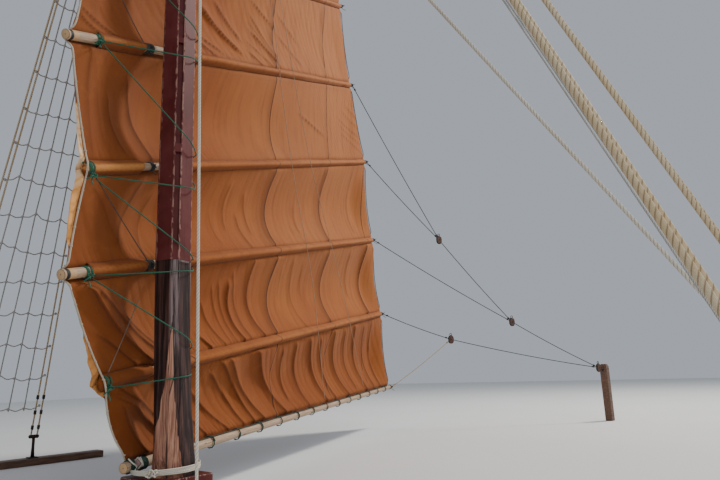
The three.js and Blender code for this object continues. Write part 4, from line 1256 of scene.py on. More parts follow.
def sheath():
    """Painted planks round the upper mast: eight faces with eased arrises, and a long slot down each cut
    corner between bridges. The outline is one list of places across a side, repeated four times."""
    up = [SHEATH["low"], SHEATH["low"] + 0.006]
    inside = [0.0, 0.0]
    for low, high in SLOTS:
        up += [low - 0.002, low, (low + high) / 2.0, high, high + 0.002]
        inside += [0.0, 1.0, 1.0, 1.0, 0.0]
    up += [SHEATH["high"] - 0.006, SHEATH["high"]]
    inside += [0.0, 0.0]
    up, inside = np.array(up), np.array(inside)
    share = (up - SHEATH["low"]) / (SHEATH["high"] - SHEATH["low"])
    half = blend(SHEATH["half"], SHEATH["top_half"], share)[:, None]
    flat = half - SHEATH["cut"]
    narrow = SHEATH["cut"] / math.sqrt(2.0)
    eased, lip, slot = 0.004, 0.0015, SLOT_WIDE / 2.0
    wide_places = np.array([-1.0, -0.82, -0.3, 0.3, 0.82, 1.0])
    wide_across = flat * wide_places - eased * np.sign(wide_places) * (np.abs(wide_places) == 1.0)
    wide_marks = np.array([1.0, 0.25, 0.0, 0.0, 0.25, 1.0])
    near_across = np.array([-narrow + eased, -slot - lip, -slot, 0.0, slot, slot + lip, narrow - eased])
    recess = np.array([0.0, 0.0, 1.0, 1.0, 1.0, 0.0, 0.0])
    near_marks = np.array([1.0, 1.0, 0.2, 0.0, 0.2, 1.0, 1.0])
    parts, marks = [], []
    for side in range(4):
        turn = math.radians(FACE_TURN) + side * np.pi / 2.0
        x, y = turned(half + 0.0 * wide_across, wide_across, turn)
        parts.append(np.stack([x, y], -1))
        marks.append(np.broadcast_to(wide_marks, x.shape))
        out = (2.0 * half - SHEATH["cut"]) / math.sqrt(2.0) - SLOT_DEEP * recess * inside[:, None]
        x, y = turned(out, np.broadcast_to(near_across, out.shape), turn + np.pi / 4.0)
        parts.append(np.stack([x, y], -1))
        marks.append(np.broadcast_to(near_marks, out.shape))
    outline = np.concatenate(parts, axis=1)
    marks = np.concatenate(marks, axis=1)
    rings = np.concatenate([outline, np.broadcast_to(up[:, None, None], outline.shape[:2] + (1,))], axis=-1)
    Skin().loft(rings, up, marks=marks).put("painted_sheath", MAROON, "mast", "maroon_paint", ["mast_sheath"],
                                            smooth=False)


def lathe(skin, profile, sides=48, centre=(0.0, 0.0), hoop=False):
    """A profile of reach and height turned about an upright axis."""
    profile = np.asarray(profile, float)
    angle = np.arange(sides) / sides * 2.0 * np.pi
    x = centre[0] + profile[:, :1] * np.cos(angle)
    y = centre[1] + profile[:, :1] * np.sin(angle)
    rings = np.stack([x, y, np.broadcast_to(profile[:, 1:], x.shape)], axis=-1)
    return skin.loft(rings, run_of(profile), np.arange(sides + 1) / sides * 0.8, hoop=hoop)


def mast_head():
    """Round head that tapers straight, under its turned cap, with the iron band of the hounds round it."""
    up = np.linspace(SHEATH["high"] + 0.001, HEAD_TOP, 60)
    reach = np.interp(up, [10.4, 12.95], [0.128, 0.118]) + 0.0015 * wander(up * 4.0, 0.0, 520)
    skin = lathe(Skin(), np.stack([reach, up], axis=1), 56)
    skin.put("round_mast_head", HEWN, "mast", "dark_wood", ["mast_head"])
    lathe(Skin(), CAP, 56).put("mast_cap_cover", MAROON, "mast", "maroon_paint", ["mast_cap"])
    lathe(Skin(), HOUNDS, 56, hoop=True).put("hounds_hoop", IRON, "mast", "ironwork", ["hounds_band"])


def foot_box():
    """Low painted box round the mast's foot: an outline that steps up, over and down into its round hole."""
    angle = np.arange(BOX_SIDES) / BOX_SIDES * 2.0 * np.pi
    square = eight_sided([BOX_HALF], [BOX_CUT], angle, 60.0)[0]
    toward = math.radians(FLARE_TOWARD)
    centre = FOOT_LEAN * np.array([math.cos(toward), math.sin(toward)])
    round_it = np.stack([np.cos(angle), np.sin(angle)], -1)
    outer, inner = square[:, None] * round_it, centre + BOX_HOLE * round_it
    rings = np.stack([np.concatenate([blend(outer, inner, share), np.full((BOX_SIDES, 1), up)], axis=1)
                      for share, up, _ in BOX_STEPS])
    marks = np.repeat(np.array([mark for _, _, mark in BOX_STEPS])[:, None], BOX_SIDES, axis=1)
    skin = Skin().loft(rings, marks=marks, hoop=True)
    skin.put("foot_box", BOX_PAINT, "mast", "maroon_paint", ["mast_box"])


# Ropes of the sail

def on_spar(spar, aft, across=0.0, up=0.0):
    """A point beside a spar's centre line, in the sail's frame."""
    return np.array([aft, SAIL_ACROSS + across, spar_up(spar, aft) + up])


def lashing(skin, spar, aft, count, rope_radius, over=0.0, phase=0.0):
    """Turns of rope side by side round a spar; over is what lies between the pole and the rope."""
    radius = blend(spar.radius, spar.tip, spar_share(spar, aft)) + over
    path = turns(on_spar(spar, aft), spar_direction(spar), radius, count, rope_radius, phase)
    laid_rope(skin, to_part(path), rope_radius)


def tail(skin, start, run, rope_radius, curl=0.03):
    """A loose end that hangs from a point and curls a little."""
    start, run = np.asarray(start, float), np.asarray(run, float)
    share = np.linspace(0.0, 1.0, 7)[:, None]
    path = start + run * share + curl * np.sin(share * 4.2) * np.array([0.6, 1.0, 0.0])
    laid_rope(skin, to_part(round_curve(path, 2.0 * rope_radius)), rope_radius)


def round_mast(start, end, reach, edge_up):
    """A taut line in the sail's frame: from a point ahead of the mast, round its near side on a circle of
    the given reach, to a point abaft it. Its height runs straight to edge_up at the mast's right edge as
    seen from the camera, and straight on to the end."""
    first = math.atan2(start[1], start[0]) + math.acos(reach / math.hypot(start[0], start[1]))
    last = 2.0 * math.pi + math.atan2(end[1], end[0]) - math.acos(reach / math.hypot(end[0], end[1]))
    angles = np.linspace(first % (2.0 * math.pi), last, 48)
    plan = np.concatenate([[start[:2]], reach * np.stack([np.cos(angles), np.sin(angles)], -1), [end[:2]]])
    run = run_of(plan)
    edge_run = np.interp(math.radians(EDGE_ANGLE), angles, run[1:-1])
    up = np.interp(run, [0.0, edge_run, run[-1]], [start[2], edge_up, end[2]])
    return np.column_stack([plan, up])


def parrels():
    """Green lines that hold each batten to the mast, each with its turns, knot and loose ends, and a
    second line that leads down round the mast to the next batten."""
    for index, spar in enumerate(SPARS):
        if spar.name not in PARRELS:
            continue
        row = PARRELS[spar.name]
        skin = Skin()
        radius = blend(spar.radius, spar.tip, spar_share(spar, row.knot_aft))
        front = -(radius + row.over + 0.014)
        start = on_spar(spar, row.knot_aft, front, row.knot_drop)
        end = on_spar(spar, PARREL_END, -spar.radius - PARREL_RADIUS)
        reach = MAST_REACH + PARREL_CLEAR + PARREL_RADIUS
        laid_rope(skin, to_part(round_mast(start, end, reach, row.edge_up)), PARREL_RADIUS)
        if row.lower_edge:
            below = SPARS[index - 1]
            end = on_spar(below, PARREL_END + 0.05, -below.radius - PARREL_RADIUS)
            low_start = start + np.array([0.02, -0.006, -0.03])
            laid_rope(skin, to_part(round_mast(low_start, end, reach + 0.004, row.lower_edge)), PARREL_RADIUS)
        lashing(skin, spar, row.knot_aft - 0.02, row.turns, TURN_RADIUS, row.over, 0.2)
        lashing(skin, spar, row.knot_aft + 0.02, 1.5, TURN_RADIUS, row.over + 0.003, 0.7)
        middle = start + np.array([-0.01, -0.008, 0.0])
        laid_rope(skin, to_part(knot(middle, 0.028, 0.5 + index)), PARREL_RADIUS)
        tail(skin, start, (-0.05, -0.03, -0.11), PARREL_RADIUS)
        tail(skin, start, (-0.09, -0.01, -0.06), PARREL_RADIUS, -0.02)
        skin.put("parrel_line_" + spar.name, GREEN_ROPE, "sail", "green_rope", ["parrel_" + spar.name])


def tack_lashing():
    """White line that holds the boom's fore end to the mast: four strands round the mast's foot from one
    big knot, and the turns round the boom."""
    boom = SPARS[0]
    skin = Skin()
    reach = FOOT_REACH + 0.012 + LASHING_RADIUS
    for strand in range(4):
        start = TACK + [0.0, 0.006 * strand, 0.010 * strand]
        end = on_spar(boom, reach + 0.05, -boom.radius - LASHING_RADIUS)
        path = round_mast(start, end, reach + 0.002 * (strand % 2), 0.437 + 0.015 * strand)
        laid_rope(skin, to_part(path), LASHING_RADIUS)
    for step, (aft, across, up) in enumerate(((-0.300, -0.080, 0.447), (-0.312, -0.035, 0.435))):
        laid_rope(skin, to_part(knot((aft, across, up), 0.040, 0.4 + step)), LASHING_RADIUS * 0.9)
    aft, up = panel_edge(1, 0.0, 0.10)
    lead = [(aft, SAIL_ACROSS - 0.02, up), (-0.20, 0.245, 0.522), (-0.150, 0.225, 0.470), TACK]
    laid_rope(skin, to_part(round_curve(lead, 0.01)), LASHING_RADIUS)
    for reach, shift in ((0.018, 0.0), (0.034, 0.3)):
        turn = (np.array([0.0, 0.25, 0.5, 0.75, 1.0]) + shift) * 2.0 * np.pi
        loop = np.stack([np.full(5, reach), 0.055 * np.cos(turn), 0.055 * np.sin(turn)], -1)
        laid_rope(skin, to_part(evenly(CHOCK_FORE + loop, 0.01)), LASHING_RADIUS * 0.9)
    tail(skin, (-0.31, -0.06, 0.435), (-0.04, -0.06, -0.012), LASHING_RADIUS, 0.01)
    skin.put("tack_lashing", WHITE_ROPE, "sail", "white_rope", ["parrel_boom"])
    green = Skin()
    for aft, count in ((-0.165, 6.0), (0.00, 7.0), (0.30, 4.0)):
        lashing(green, boom, aft, count, PARREL_RADIUS, 0.002)
    laid_rope(green, to_part(knot(BOOM_KNOT, 0.034, 1.1)), PARREL_RADIUS)
    tail(green, BOOM_KNOT, (-0.06, -0.03, -0.035), PARREL_RADIUS, 0.01)
    green.put("boom_end_turns", DARK_GREEN_ROPE, "sail", "green_rope")
    chock = Skin()
    run = np.array([CHOCK_LONG, 0.0, 0.065 * CHOCK_LONG])
    ends = to_part([CHOCK_FORE, CHOCK_FORE + run])
    bar(chock, ends[0], ends[1], CHOCK_WIDE, CHOCK_WIDE, bevel=0.005, turn=np.pi / 4.0)
    chock.put("boom_chock", CHOCK_WOOD, "sail", "pale_pole", smooth=False)


def yard_parrel():
    """The yard's line, level round the mast, as stout as the others."""
    yard = SPARS[-1]
    reach = MAST_REACH + PARREL_CLEAR + PARREL_RADIUS
    start = on_spar(yard, -0.78, -yard.radius - 0.012)
    end = on_spar(yard, PARREL_END, -yard.radius - PARREL_RADIUS)
    skin = Skin()
    laid_rope(skin, to_part(round_mast(start, end, reach, blend(start[2], end[2], 0.7))), PARREL_RADIUS)
    lashing(skin, yard, -0.80, 5.0, PARREL_RADIUS)
    laid_rope(skin, to_part(knot(start, 0.04, 0.9)), PARREL_RADIUS)
    skin.put("parrel_line_yard", GREEN_ROPE, "sail", "green_rope", ["parrel_yard"])


def edge_ropes():
    """White rope along the luff, sewn to the cloth's near side, and a thin dark one along the leech. Each
    follows the panels' edges and passes behind the poles, but the luff rope passes before two of them."""
    for name, along, radius, material, slot in (("luff_rope", 0.0, 0.0088, OLD_ROPE, "white_rope"),
                                               ("leech_rope", 1.0, 0.0065, DARK_ROPE, "dark_rope")):
        path = []
        for number, (lower, upper) in enumerate(zip(SPARS, SPARS[1:]), start=1):
            rise = np.linspace(0.0, 1.0, 40, endpoint=False)
            gap = spar_line(upper, along)[1] - spar_line(lower, along)[1]
            aft, up = panel_edge(number, along, rise)
            from_pole = np.minimum(rise, 1.0 - rise) * gap
            passing = 1.0 - ease((from_pole - lower.radius) / 0.07)
            on_cloth = cloth_across(number, along, rise)
            behind = on_cloth + radius + CLOTH_GAP
            before = SAIL_ACROSS - lower.radius - radius - SLEEVE_DEEP
            nearest = np.where(rise < 0.5, lower.name, upper.name)
            is_before = np.isin(nearest, ROPE_BEFORE) & (along == 0.0)
            aft = aft - (0.006 if along == 0.0 else -radius) - ROPE_OUT * passing * is_before
            across = blend(on_cloth - radius - CLOTH_GAP, np.where(is_before, before, behind), passing)
            path.append(np.stack([aft, across, up], -1))
        path = np.concatenate(path)
        skin = Skin()
        laid_rope(skin, to_part(round_curve(path[::4], 0.03)), radius)
        if along == 0.0:
            for spot in path[6::7]:
                stitch = turns(spot, (0.15, 0.0, 1.0), radius, 1.3, 0.0035)[::2]
                tube(skin, to_part(stitch), 0.0035, 4, 0.9)
        skin.put(name, material, "sail", slot)


def spar_lacing():
    """Line that laces the cloth to the boom and the yard, and black turns on each batten by the mast."""
    boom, yard = SPARS[0], SPARS[-1]
    skin = Skin()
    for aft in np.arange(0.62, 8.7, 0.60):
        lashing(skin, boom, float(aft), 1.6, LACING_RADIUS, CLOTH_GAP + 0.004, float(aft))
    along = [on_spar(boom, aft, -0.022, blend(boom.radius, boom.tip, aft / 9.0) + 0.008)
             for aft in (0.5, 8.66)]
    laid_rope(skin, to_part(evenly(along, 0.25)), SEIZING_RADIUS)
    skin.put("boom_lacing", DARK_GREEN_ROPE, "sail", "green_rope")
    skin = Skin()
    for aft in np.arange(-0.7, 4.2, 0.27):
        lashing(skin, yard, float(aft), 2.2, LACING_RADIUS, CLOTH_GAP + 0.004, float(aft))
    skin.put("yard_lacing", WHITE_ROPE, "sail", "white_rope")
    skin = Skin()
    for index, spar in enumerate(SPARS[1:-1], start=1):
        for aft, count in SEIZINGS[spar.name]:
            lashing(skin, spar, aft, count, SEIZING_RADIUS, 0.0, aft)
            spot = on_spar(spar, aft, -spar.radius - 0.014)
            laid_rope(skin, to_part(knot(spot, 0.026, index + aft)), SEIZING_RADIUS)
            tail(skin, spot, (-0.03, -0.03, -0.12), 0.005)
    for spar in SPARS[:-1]:
        aft = spar.leech_aft + 0.045
        lashing(skin, spar, aft, 4.0, SEIZING_RADIUS)
        spot = on_spar(spar, aft + 0.015, -spar.tip - 0.012)
        laid_rope(skin, to_part(knot(spot, 0.024, aft)), SEIZING_RADIUS)
        tail(skin, spot, (0.07, -0.02, -0.09), 0.0045)
        tail(skin, spot, (0.09, -0.03, 0.05), 0.0045, -0.02)
    skin.put("batten_seizings", DARK_ROPE, "sail", "dark_rope")


def topping_lines():
    """Light lines down the near side of the sail, and the thin ones that draw its luff in."""
    skin = Skin()
    for points in TOPPING_LINES:
        path = [(aft, TOPPING_ACROSS if 0 < step < len(points) - 1 else SAIL_ACROSS - 0.08, up)
                for step, (aft, up) in enumerate(points)]
        laid_rope(skin, to_part(round_curve(path, 0.03)), TOPPING_RADIUS)
    skin.put("topping_lines", BROWN_ROPE, "sail", "white_rope")
    for number, (start, end, rope) in enumerate(THIN_LINES, start=1):
        skin = Skin()
        path = sagging((start[0], THIN_ACROSS, start[1]), (end[0], THIN_ACROSS, end[1]), 0.012, 0.03)
        laid_rope(skin, to_part(path), THIN_RADIUS)
        material = DARK_ROPE if rope == "dark" else DULL_ROPE
        skin.put("gathering_line_%d" % number, material, "sail", "dark_rope")


# Blocks

def oval(wide, tall, power=2.6, count=36):
    """Points round a superellipse, as side and height."""
    angle = np.arange(count) / count * 2.0 * np.pi
    cosine, sine = np.cos(angle), np.sin(angle)
    return np.stack([wide / 2.0 * np.sign(cosine) * np.abs(cosine) ** (2.0 / power),
                     tall / 2.0 * np.sign(sine) * np.abs(sine) ** (2.0 / power)], axis=-1)


def pulley(name, centre, heading, size, replaces, body):
    """A wooden block: two rounded cheeks, blocks between them at head and foot, a sheave on its pin, and a
    rope strop in the groove round it that ends in an eye above. Heading is the cheeks' direction."""
    centre = np.asarray(centre, float)
    side = np.array([math.cos(heading), math.sin(heading), 0.0])
    face = np.array([-math.sin(heading), math.cos(heading), 0.0])
    wide, thick, tall = size

    def slab(skin, outline, low, high, shift, ease_by, mark=0.0):
        bevel = 0.10 * (high - low)
        levels = [(low, ease_by), (low + bevel, 1.0), (high - bevel, 1.0), (high, ease_by)]
        rings = np.stack([centre + side * outline[:, :1] * scale + UP * (outline[:, 1:] * scale + shift)
                          + face * level for level, scale in levels])
        skin.loft(rings, marks=np.full(rings.shape[:2], mark))

    wood, metal, rope = Skin(), Skin(), Skin()
    for hand in (-1.0, 1.0):
        slab(wood, oval(wide, tall), hand * thick * 0.20, hand * thick * 0.5, 0.0, 0.90, 0.4)
    for hand in (-1.0, 1.0):
        slab(wood, oval(wide * 0.62, tall * 0.20), -thick * 0.20, thick * 0.20, hand * tall * 0.36, 1.0)
    slab(metal, oval(wide * 0.74, wide * 0.74, 2.0), -thick * 0.16, thick * 0.16, 0.0, 0.96)
    slab(metal, oval(0.022, 0.022, 2.0), -thick * 0.54, thick * 0.54, 0.0, 0.8)
    loop = oval(wide + 0.012, tall + 0.012)
    closed = np.concatenate([loop, loop[:1]])
    laid_rope(rope, centre + side * closed[:, :1] + UP * closed[:, 1:], 0.008)
    turn = np.linspace(0.0, 2.0 * np.pi, 30)[:, None]
    eye = centre + UP * (tall / 2.0 + 0.032 + 0.026 * np.cos(turn)) + side * 0.022 * np.sin(turn)
    laid_rope(rope, eye, 0.007)
    return [wood.put(name, BLOCK_WOOD, body, "dark_wood", replaces),
            metal.put(name + "_sheave", IRON, body, "ironwork"),
            rope.put(name + "_strop", DARK_ROPE, body, "dark_rope")]


def sheets():
    """Dark lines from the leech ends to their blocks and on to the post, and the blocks."""
    blocks = {name: np.array(place) for name, place in SHEET_BLOCKS.items()}
    places = dict(blocks)
    for spar in SPARS:
        across = SAIL_ACROSS - spar.tip - 0.012
        places[spar.name] = np.array([spar.leech_aft + SHEET_RUN_OUT, across, spar.leech_up])
    bent = []
    for number, (start, end) in enumerate(SHEET_RUNS, start=1):
        first, last = places[start], places[end]
        run = unit(last - first)
        first = first + run * (SHEET_STAND_OFF if start in blocks else 0.0)
        last = last - run * SHEET_STAND_OFF
        skin = Skin()
        sag = 0.02 * float(np.linalg.norm(last - first)) ** 0.5
        laid_rope(skin, to_part(sagging(first, last, sag, 0.05)), SHEET_RADIUS)
        for spot in ([last - run * 0.05] + ([] if start in blocks else [first + run * 0.10])):
            laid_rope(skin, to_part(turns(spot, run, 0.009, 4.0, 0.005)), 0.005)
        material = PALE_ROPE if start == "boom" else DARK_ROPE
        bent.append(skin.put("sheet_line_%d" % number, material, None, "dark_rope", ["sheet_%d" % number]))
    for name, place in blocks.items():
        centre = to_part(place)
        toward = to_part(blocks["post"]) - centre if name != "post" else np.array([1.0, -0.4, 0.0])
        heading = math.atan2(toward[1], toward[0])
        bent += pulley("sheet_pulley_" + name, centre, heading, SHEET_SIZE, ["sheet_block_" + name], None)
    start, end = (tuple(SHEET_BEND * away) for away in SHEET_BENT)
    for piece in bent:
        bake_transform(piece)


def bar(skin, first, last, wide, tall, bevel, turn=0.0):
    """A level or upright squared bar with eased edges, from one end to the other, turned about its run."""
    first, last = np.asarray(first, float), np.asarray(last, float)
    run = unit(last - first)
    level = unit(np.cross(run, UP if abs(run[2]) < 0.9 else AFT))
    square = np.cross(level, run)
    side = math.cos(turn) * level + math.sin(turn) * square
    other = math.cos(turn) * square - math.sin(turn) * level
    x, y = wide / 2.0, tall / 2.0
    corners = [(x, y - bevel), (x - bevel, y), (bevel - x, y), (-x, y - bevel),
               (-x, bevel - y), (bevel - x, -y), (x - bevel, -y), (x, bevel - y)]
    section = np.array([side * a + other * b for a, b in corners])
    length = np.linalg.norm(last - first)
    small = 1.0 - 2.0 * bevel / max(wide, tall)
    steps = [(0.0, small), (bevel, 1.0)]
    steps += [(reach, 1.0) for reach in np.linspace(bevel, length - bevel, 12)[1:-1]]
    steps += [(length - bevel, 1.0), (length, small)]
    skin.loft(np.stack([first + run * reach + section * scale for reach, scale in steps]))


def post():
    """Squared post with a hipped top, and the iron eye on its fore face."""
    skin = Skin()
    bar(skin, (POST_AFT, 0.0, 0.0), (POST_AFT, 0.0, 1.17), 0.158, 0.158, bevel=0.010)
    corners = np.array([(-1.0, -1.0), (1.0, -1.0), (1.0, 1.0), (-1.0, 1.0)])
    levels = ((1.168, 0.074), (1.19, 0.079), (1.20, 0.072), (1.249, 0.050))
    skin.loft(np.stack([np.insert(half * corners, 2, up, axis=1) + POST_AFT * AFT for up, half in levels]))
    skin.put("timber_sheet_post", PLANK_WOOD, "mast", "dark_wood", ["sheet_post"], smooth=False)
    iron = Skin()
    tube(iron, ring(POST_EYE, 0.026, AFT, UP, 40), 0.008, 10)
    tube(iron, POST_EYE + np.outer([0.027, 0.034], AFT), 0.022, 16)
    iron.put("sheet_eye_bolt", IRON, "mast", "ironwork", ["sheet_post_eye"])


# Standing rigging

def shroud_line(side, foot, shift=0.0):
    """Top and foot of one shroud rope; shift sets the two ropes of a pair apart at the foot."""
    top = np.array([math.copysign(SHROUD_SPREAD, foot), side * SHROUD_OUT, SHROUD_TOP])
    low = np.array([foot + shift, side * HALF_BEAM, CHANNEL_TALL + EYE_RISE])
    return top, low


def shrouds():
    """Pairs of laid ropes from the hounds to iron bars on the channels, with seizings over the bars."""
    for side_name, side in (("port", -1.0), ("starboard", 1.0)):
        radius = SHROUD_RADIUS if side < 0 else SHROUD_RADIUS * 0.72
        for place, foot in SHROUD_FEET.items():
            skin, black, iron = Skin(), Skin(), Skin()
            for hand in (-1.0, 1.0):
                top, low = shroud_line(side, foot, hand * PAIR_GAP / 2.0)
                over = np.array([top[0] * 0.9, side * 0.128, SHROUD_TOP + 0.13])
                path = [low, blend(low, top, 0.5), blend(low, top, 0.985), over]
                laid_rope(skin, round_curve(path, 0.03), radius)
                run = unit(top - low)
                for reach in SHROUD_SEIZINGS:
                    laid_rope(black, turns(low + run * reach, run, radius, 7.0, 0.0045), 0.0045)
            name = "%s_%s" % (side_name, place)
            solid = "%s_shroud_%s" % (side_name, place)
            skin.put("shroud_ropes_" + name, PALE_ROPE, "mast", "shroud_rope", [solid])
            black.put("shroud_seizings_" + name, DARK_ROPE, "mast", "dark_rope")
            eye = np.array([foot, side * HALF_BEAM, CHANNEL_TALL + EYE_RISE])
            tube(iron, [eye - (EYE_RISE - 0.001) * UP, eye - 0.16 * UP, eye], [0.030, 0.022, 0.022], 16)
            bar(iron, eye - 0.078 * AFT, eye + 0.078 * AFT, 0.056, 0.056, bevel=0.014)
            bar(iron, eye - (EYE_RISE - 0.002) * UP, eye - (EYE_RISE - 0.016) * UP, 0.15, 0.15, bevel=0.004)
            iron.put("shroud_iron_" + name, IRON, "mast", "ironwork")
        plank = Skin()
        across = side * HALF_BEAM
        bar(plank, (-0.898, across, 0.055), (1.898, across, 0.055), 0.258, 0.109, bevel=0.012)
        plank.put("channel_plank_" + side_name, PLANK_WOOD, "mast", "dark_wood", [side_name + "_channel"],
                  smooth=False)
    collar = Skin()
    laid_rope(collar, turns(COLLAR_UP * UP, UP, 0.124, 6.0, SHROUD_RADIUS), SHROUD_RADIUS)
    collar.put("shroud_collar", PALE_ROPE, "mast", "shroud_rope")


def net():
    """Rope ladder between the far pair of shrouds: upright lines spread evenly between the two, and
    ratlines knotted to each of them, which sag and wander a little."""
    fore_top, fore_low = shroud_line(1.0, SHROUD_FEET["fore"])
    aft_top, aft_low = shroud_line(1.0, SHROUD_FEET["aft"])
    upright, rungs = Skin(), Skin()

    def place(share, up):
        height = ((up - fore_low[2]) / (fore_top[2] - fore_low[2]))[:, None]
        return blend(blend(fore_low, fore_top, height), blend(aft_low, aft_top, height), share[:, None])

    ups = np.linspace(NET_LOW - 0.06, NET_LOW + (NET_RUNGS - 1) * NET_STEP + 0.06, 60)
    for line in range(1, NET_LINES):
        path = place(line / NET_LINES + 0.012 * wander(ups * 1.1, line * 2.3, 600), ups)
        laid_rope(upright, round_curve(path[::3], 0.04), UPRIGHT_RADIUS)
    lines = np.arange(NET_LINES + 1)
    for rung in range(NET_RUNGS):
        up = NET_LOW + rung * NET_STEP + 0.055 * wander(rung * 1.7, lines * 1.3, 620)
        knots = place(lines / NET_LINES, up)
        path = np.empty((2 * NET_LINES + 1, 3))
        path[0::2] = knots
        path[1::2] = 0.5 * (knots[1:] + knots[:-1]) - 0.035 * (1.0 - rung / NET_RUNGS) * UP
        laid_rope(rungs, round_curve(path, 0.02), RUNG_RADIUS)
        for spot in knots:
            path = spot + np.outer([-0.020, -0.009, 0.009, 0.020], UP)
            tube(rungs, path, [0.011, 0.019, 0.019, 0.011], 7, 0.5)
    upright.put("net_uprights", GREY_ROPE, "mast", "shroud_rope")
    rungs.put("net_ratlines", GREY_ROPE, "mast", "shroud_rope")


def port_lines():
    """The near side's two light lines between the shrouds, with black seizings, and the white guy."""
    fore_top, fore_low = shroud_line(-1.0, SHROUD_FEET["fore"])
    aft_top, aft_low = shroud_line(-1.0, SHROUD_FEET["aft"])
    skin, black, guy = Skin(), Skin(), Skin()
    for top_share, low_share in ((0.80, 0.47), (0.90, 0.56)):
        top = blend(fore_top, aft_top, top_share)
        low = blend(fore_low, aft_low, low_share) - EYE_RISE * UP
        laid_rope(skin, sagging(low, top - 0.3 * UP, 0.03, 0.05), LIGHT_RADIUS)
        run = unit(top - low)
        for reach in (3.1, 3.28, 6.0):
            laid_rope(black, turns(low + run * (reach + low_share), run, 0.007, 10.0, 0.005), 0.005)
    skin.put("port_light_lines", GREY_ROPE, "mast", "shroud_rope")
    black.put("port_light_seizings", DARK_ROPE, "mast", "dark_rope")
    path = sagging((1.65, -HALF_BEAM, 0.144), (0.016, -MAST_REACH, GUY_UP), 0.03, 0.05)
    laid_rope(guy, path, GUY_RADIUS)
    laid_rope(guy, turns(GUY_UP * UP, UP, 0.186, 2.0, GUY_RADIUS), GUY_RADIUS)
    laid_rope(guy, knot((1.63, -HALF_BEAM, 0.16), 0.05, 0.8), 0.012)
    guy.put("guy_rope", WHITE_ROPE, "mast", "white_rope", ["port_guy"])


def halyard():
    """White halyard fall from its deck eye to the lead block, and the block's iron band on the mast."""
    fall, iron, hoop = Skin(), Skin(), Skin()
    laid_rope(fall, sagging(FALL_FOOT, FALL_LEAD - 0.088 * UP, 0.0, 0.05), FALL_RADIUS)
    laid_rope(fall, turns(FALL_FOOT + 0.05 * UP, UP, 0.016, 3.0, 0.009), 0.009)
    fall.put("halyard_fall_rope", WHITE_ROPE, "mast", "white_rope", ["halyard_fall"])
    x, y = FALL_FOOT[:2]
    lathe(iron, [(0.026, 0.016), (0.024, 0.06), (0.018, 0.11), (0.022, 0.126)], 24, (x, y))
    bar(iron, (x - 0.09, y, 0.008), (x + 0.09, y, 0.008), 0.18, 0.016, bevel=0.003)
    for right in (-0.065, 0.065):
        for ahead in (-0.065, 0.065):
            lathe(iron, [(0.010, 0.016), (0.010, 0.020), (0.006, 0.023)], 12, (x + right, y + ahead))
    tube(iron, ring(FALL_FOOT - 0.005 * UP, 0.024, AFT, UP, 36), 0.008, 10)
    iron.put("halyard_eye_bolt", IRON, "mast", "ironwork", ["halyard_deck_eye"])
    up = FALL_LEAD[2]
    lathe(hoop, np.array(LEAD_BAND) + [0.0, up], 48, hoop=True)
    tube(hoop, np.array([[0.006, -0.146, up], [0.008, -0.18, up], [0.010, -0.216, up]]), 0.020, 14)
    hoop.put("lead_block_hoop", IRON, "mast", "ironwork", ["halyard_lead_block"])
    pulley("lead_pulley", FALL_LEAD - [0.0, 0.012, 0.0], 0.0, LEAD_SIZE, (), "mast")


def hoist():
    """Collar on the mast head, the two blocks, the rope parts between them and the yard's sling."""
    collar, rope = Skin(), Skin()
    lathe(collar, SWIVEL, 48, hoop=True)
    lug = to_part([(0.09, 0.141, 11.645), (0.09, 0.288, 11.645)])
    bar(collar, lug[0], lug[1], 0.108, 0.078, bevel=0.012)
    collar.put("swivel_collar", IRON, "sail", "ironwork", ["halyard_collar"])
    yard = SPARS[-1]
    lower = np.array([0.54, 0.27, spar_up(yard, SLING_AFT) + 0.26])
    pulley("upper_pulley", to_part(UPPER_BLOCK), SWING, UPPER_SIZE, ["halyard_upper_block"], "sail")
    pulley("yard_pulley", to_part(lower), SWING, YARD_SIZE, ["yard_block"], "sail")
    for number, hand in enumerate((-1.0, 1.0), start=1):
        shift = hand * 0.032 * AFT
        part = Skin()
        laid_rope(part, to_part([lower + shift + 0.106 * UP, UPPER_BLOCK + shift - 0.106 * UP]), 0.0145)
        part.put("hoist_part_%d" % number, WHITE_ROPE, "sail", "white_rope", ["halyard_part_%d" % number])
    end = on_spar(yard, SLING_AFT, 0.0, yard.radius + 0.03)
    laid_rope(rope, to_part([lower - 0.112 * UP, end]), FALL_RADIUS)
    lashing(rope, yard, 0.56, 5.0, FALL_RADIUS, 0.004)
    rope.put("yard_sling_rope", WHITE_ROPE, "sail", "white_rope", ["yard_sling"])


# Camera, light and floor

def placed(name, data, side, top, back, place):
    """An object that looks along minus back, with side to its right and top above it."""
    seen = bpy.data.objects.new(name, data)
    rows = [[side[i], top[i], back[i], place[i]] for i in range(3)]
    seen.matrix_world = Matrix(rows + [[0.0, 0.0, 0.0, 1.0]])
    bpy.context.scene.collection.objects.link(seen)
    return seen


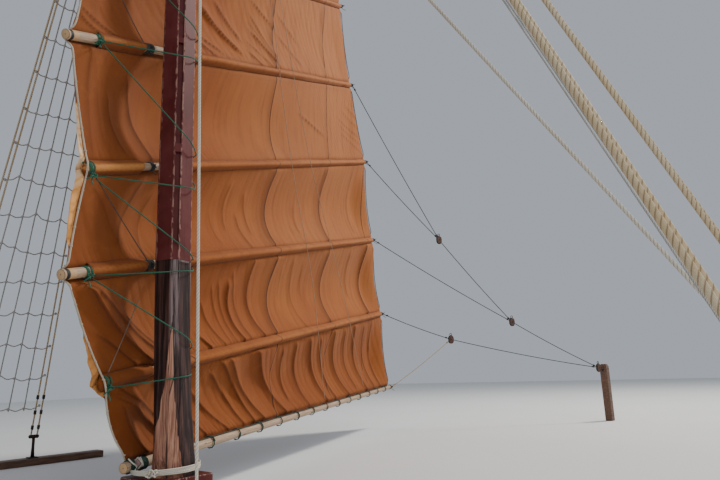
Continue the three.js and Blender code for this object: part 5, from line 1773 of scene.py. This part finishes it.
def camera():
    """Camera at the eye, turned by its heading and tilt, and rolled about its own line of sight."""
    heading, tilt, roll = (math.radians(angle) for angle in (HEADING, TILT, ROLL))
    ahead = np.array([math.cos(heading), math.sin(heading), 0.0])
    right = np.array([math.sin(heading), -math.cos(heading), 0.0])
    raised = UP * math.cos(tilt) - ahead * math.sin(tilt)
    side = math.cos(roll) * right - math.sin(roll) * raised
    top = math.sin(roll) * right + math.cos(roll) * raised
    back = -(ahead * math.cos(tilt) + UP * math.sin(tilt))
    data = bpy.data.cameras.new("view")
    data.lens = LENS_MM
    data.sensor_width = SENSOR_MM
    data.sensor_fit = "HORIZONTAL"
    data.clip_end = 200.0
    bpy.context.scene.camera = placed("view", data, side, top, back, EYE)


def lamp(row):
    """A round lamp that faces the place where the lamps are aimed."""
    azimuth, elevation = math.radians(row.azimuth), math.radians(row.elevation)
    level = math.cos(elevation)
    away = np.array([level * math.cos(azimuth), level * math.sin(azimuth), math.sin(elevation)])
    data = bpy.data.lights.new(row.name, "AREA")
    data.shape = "DISK"
    data.size = row.size
    data.energy = row.watts
    data.color = row.colour
    side = unit(np.cross(UP, away))
    placed(row.name, data, side, np.cross(away, side), away, LAMP_AIM + row.distance * away)


def studio():
    world = bpy.data.worlds.new("studio")
    world.use_nodes = True
    tone = world.node_tree.nodes["Background"]
    tone.inputs["Color"].default_value = SKY_COLOUR
    tone.inputs["Strength"].default_value = SKY_STRENGTH
    bpy.context.scene.world = world
    for row in LAMPS:
        lamp(row)
    corners = FLOOR_HALF * np.array([[-1.0, -1.0, 0.0], [1.0, -1.0, 0.0], [1.0, 1.0, 0.0], [-1.0, 1.0, 0.0]])
    skin = Skin().add(corners, [np.array([[0, 1, 2, 3]])], [corners[None, :, :2]])
    skin.put("floor", floor_finish(), None, None)


camera()
sail_cloth()
lower_mast()
sheath()
mast_head()
foot_box()
parrels()
tack_lashing()
yard_parrel()
edge_ropes()
spar_lacing()
topping_lines()
sheets()
post()
shrouds()
net()
port_lines()
halyard()
hoist()
studio()

MATERIAL_OF_SLOT = {
    "dark_wood": PLANK_WOOD, "maroon_paint": MAROON, "ironwork": IRON, "pale_pole": POLE, "sailcloth": CANVAS,
    "green_rope": GREEN_ROPE, "shroud_rope": PALE_ROPE, "white_rope": WHITE_ROPE, "dark_rope": DARK_ROPE,
}
for part in frame["record"]["subparts"]:
    node = frame["nodes"][part["node"]]
    node.data.materials.clear()
    node.data.materials.append(MATERIAL_OF_SLOT[part["material_slot"]])
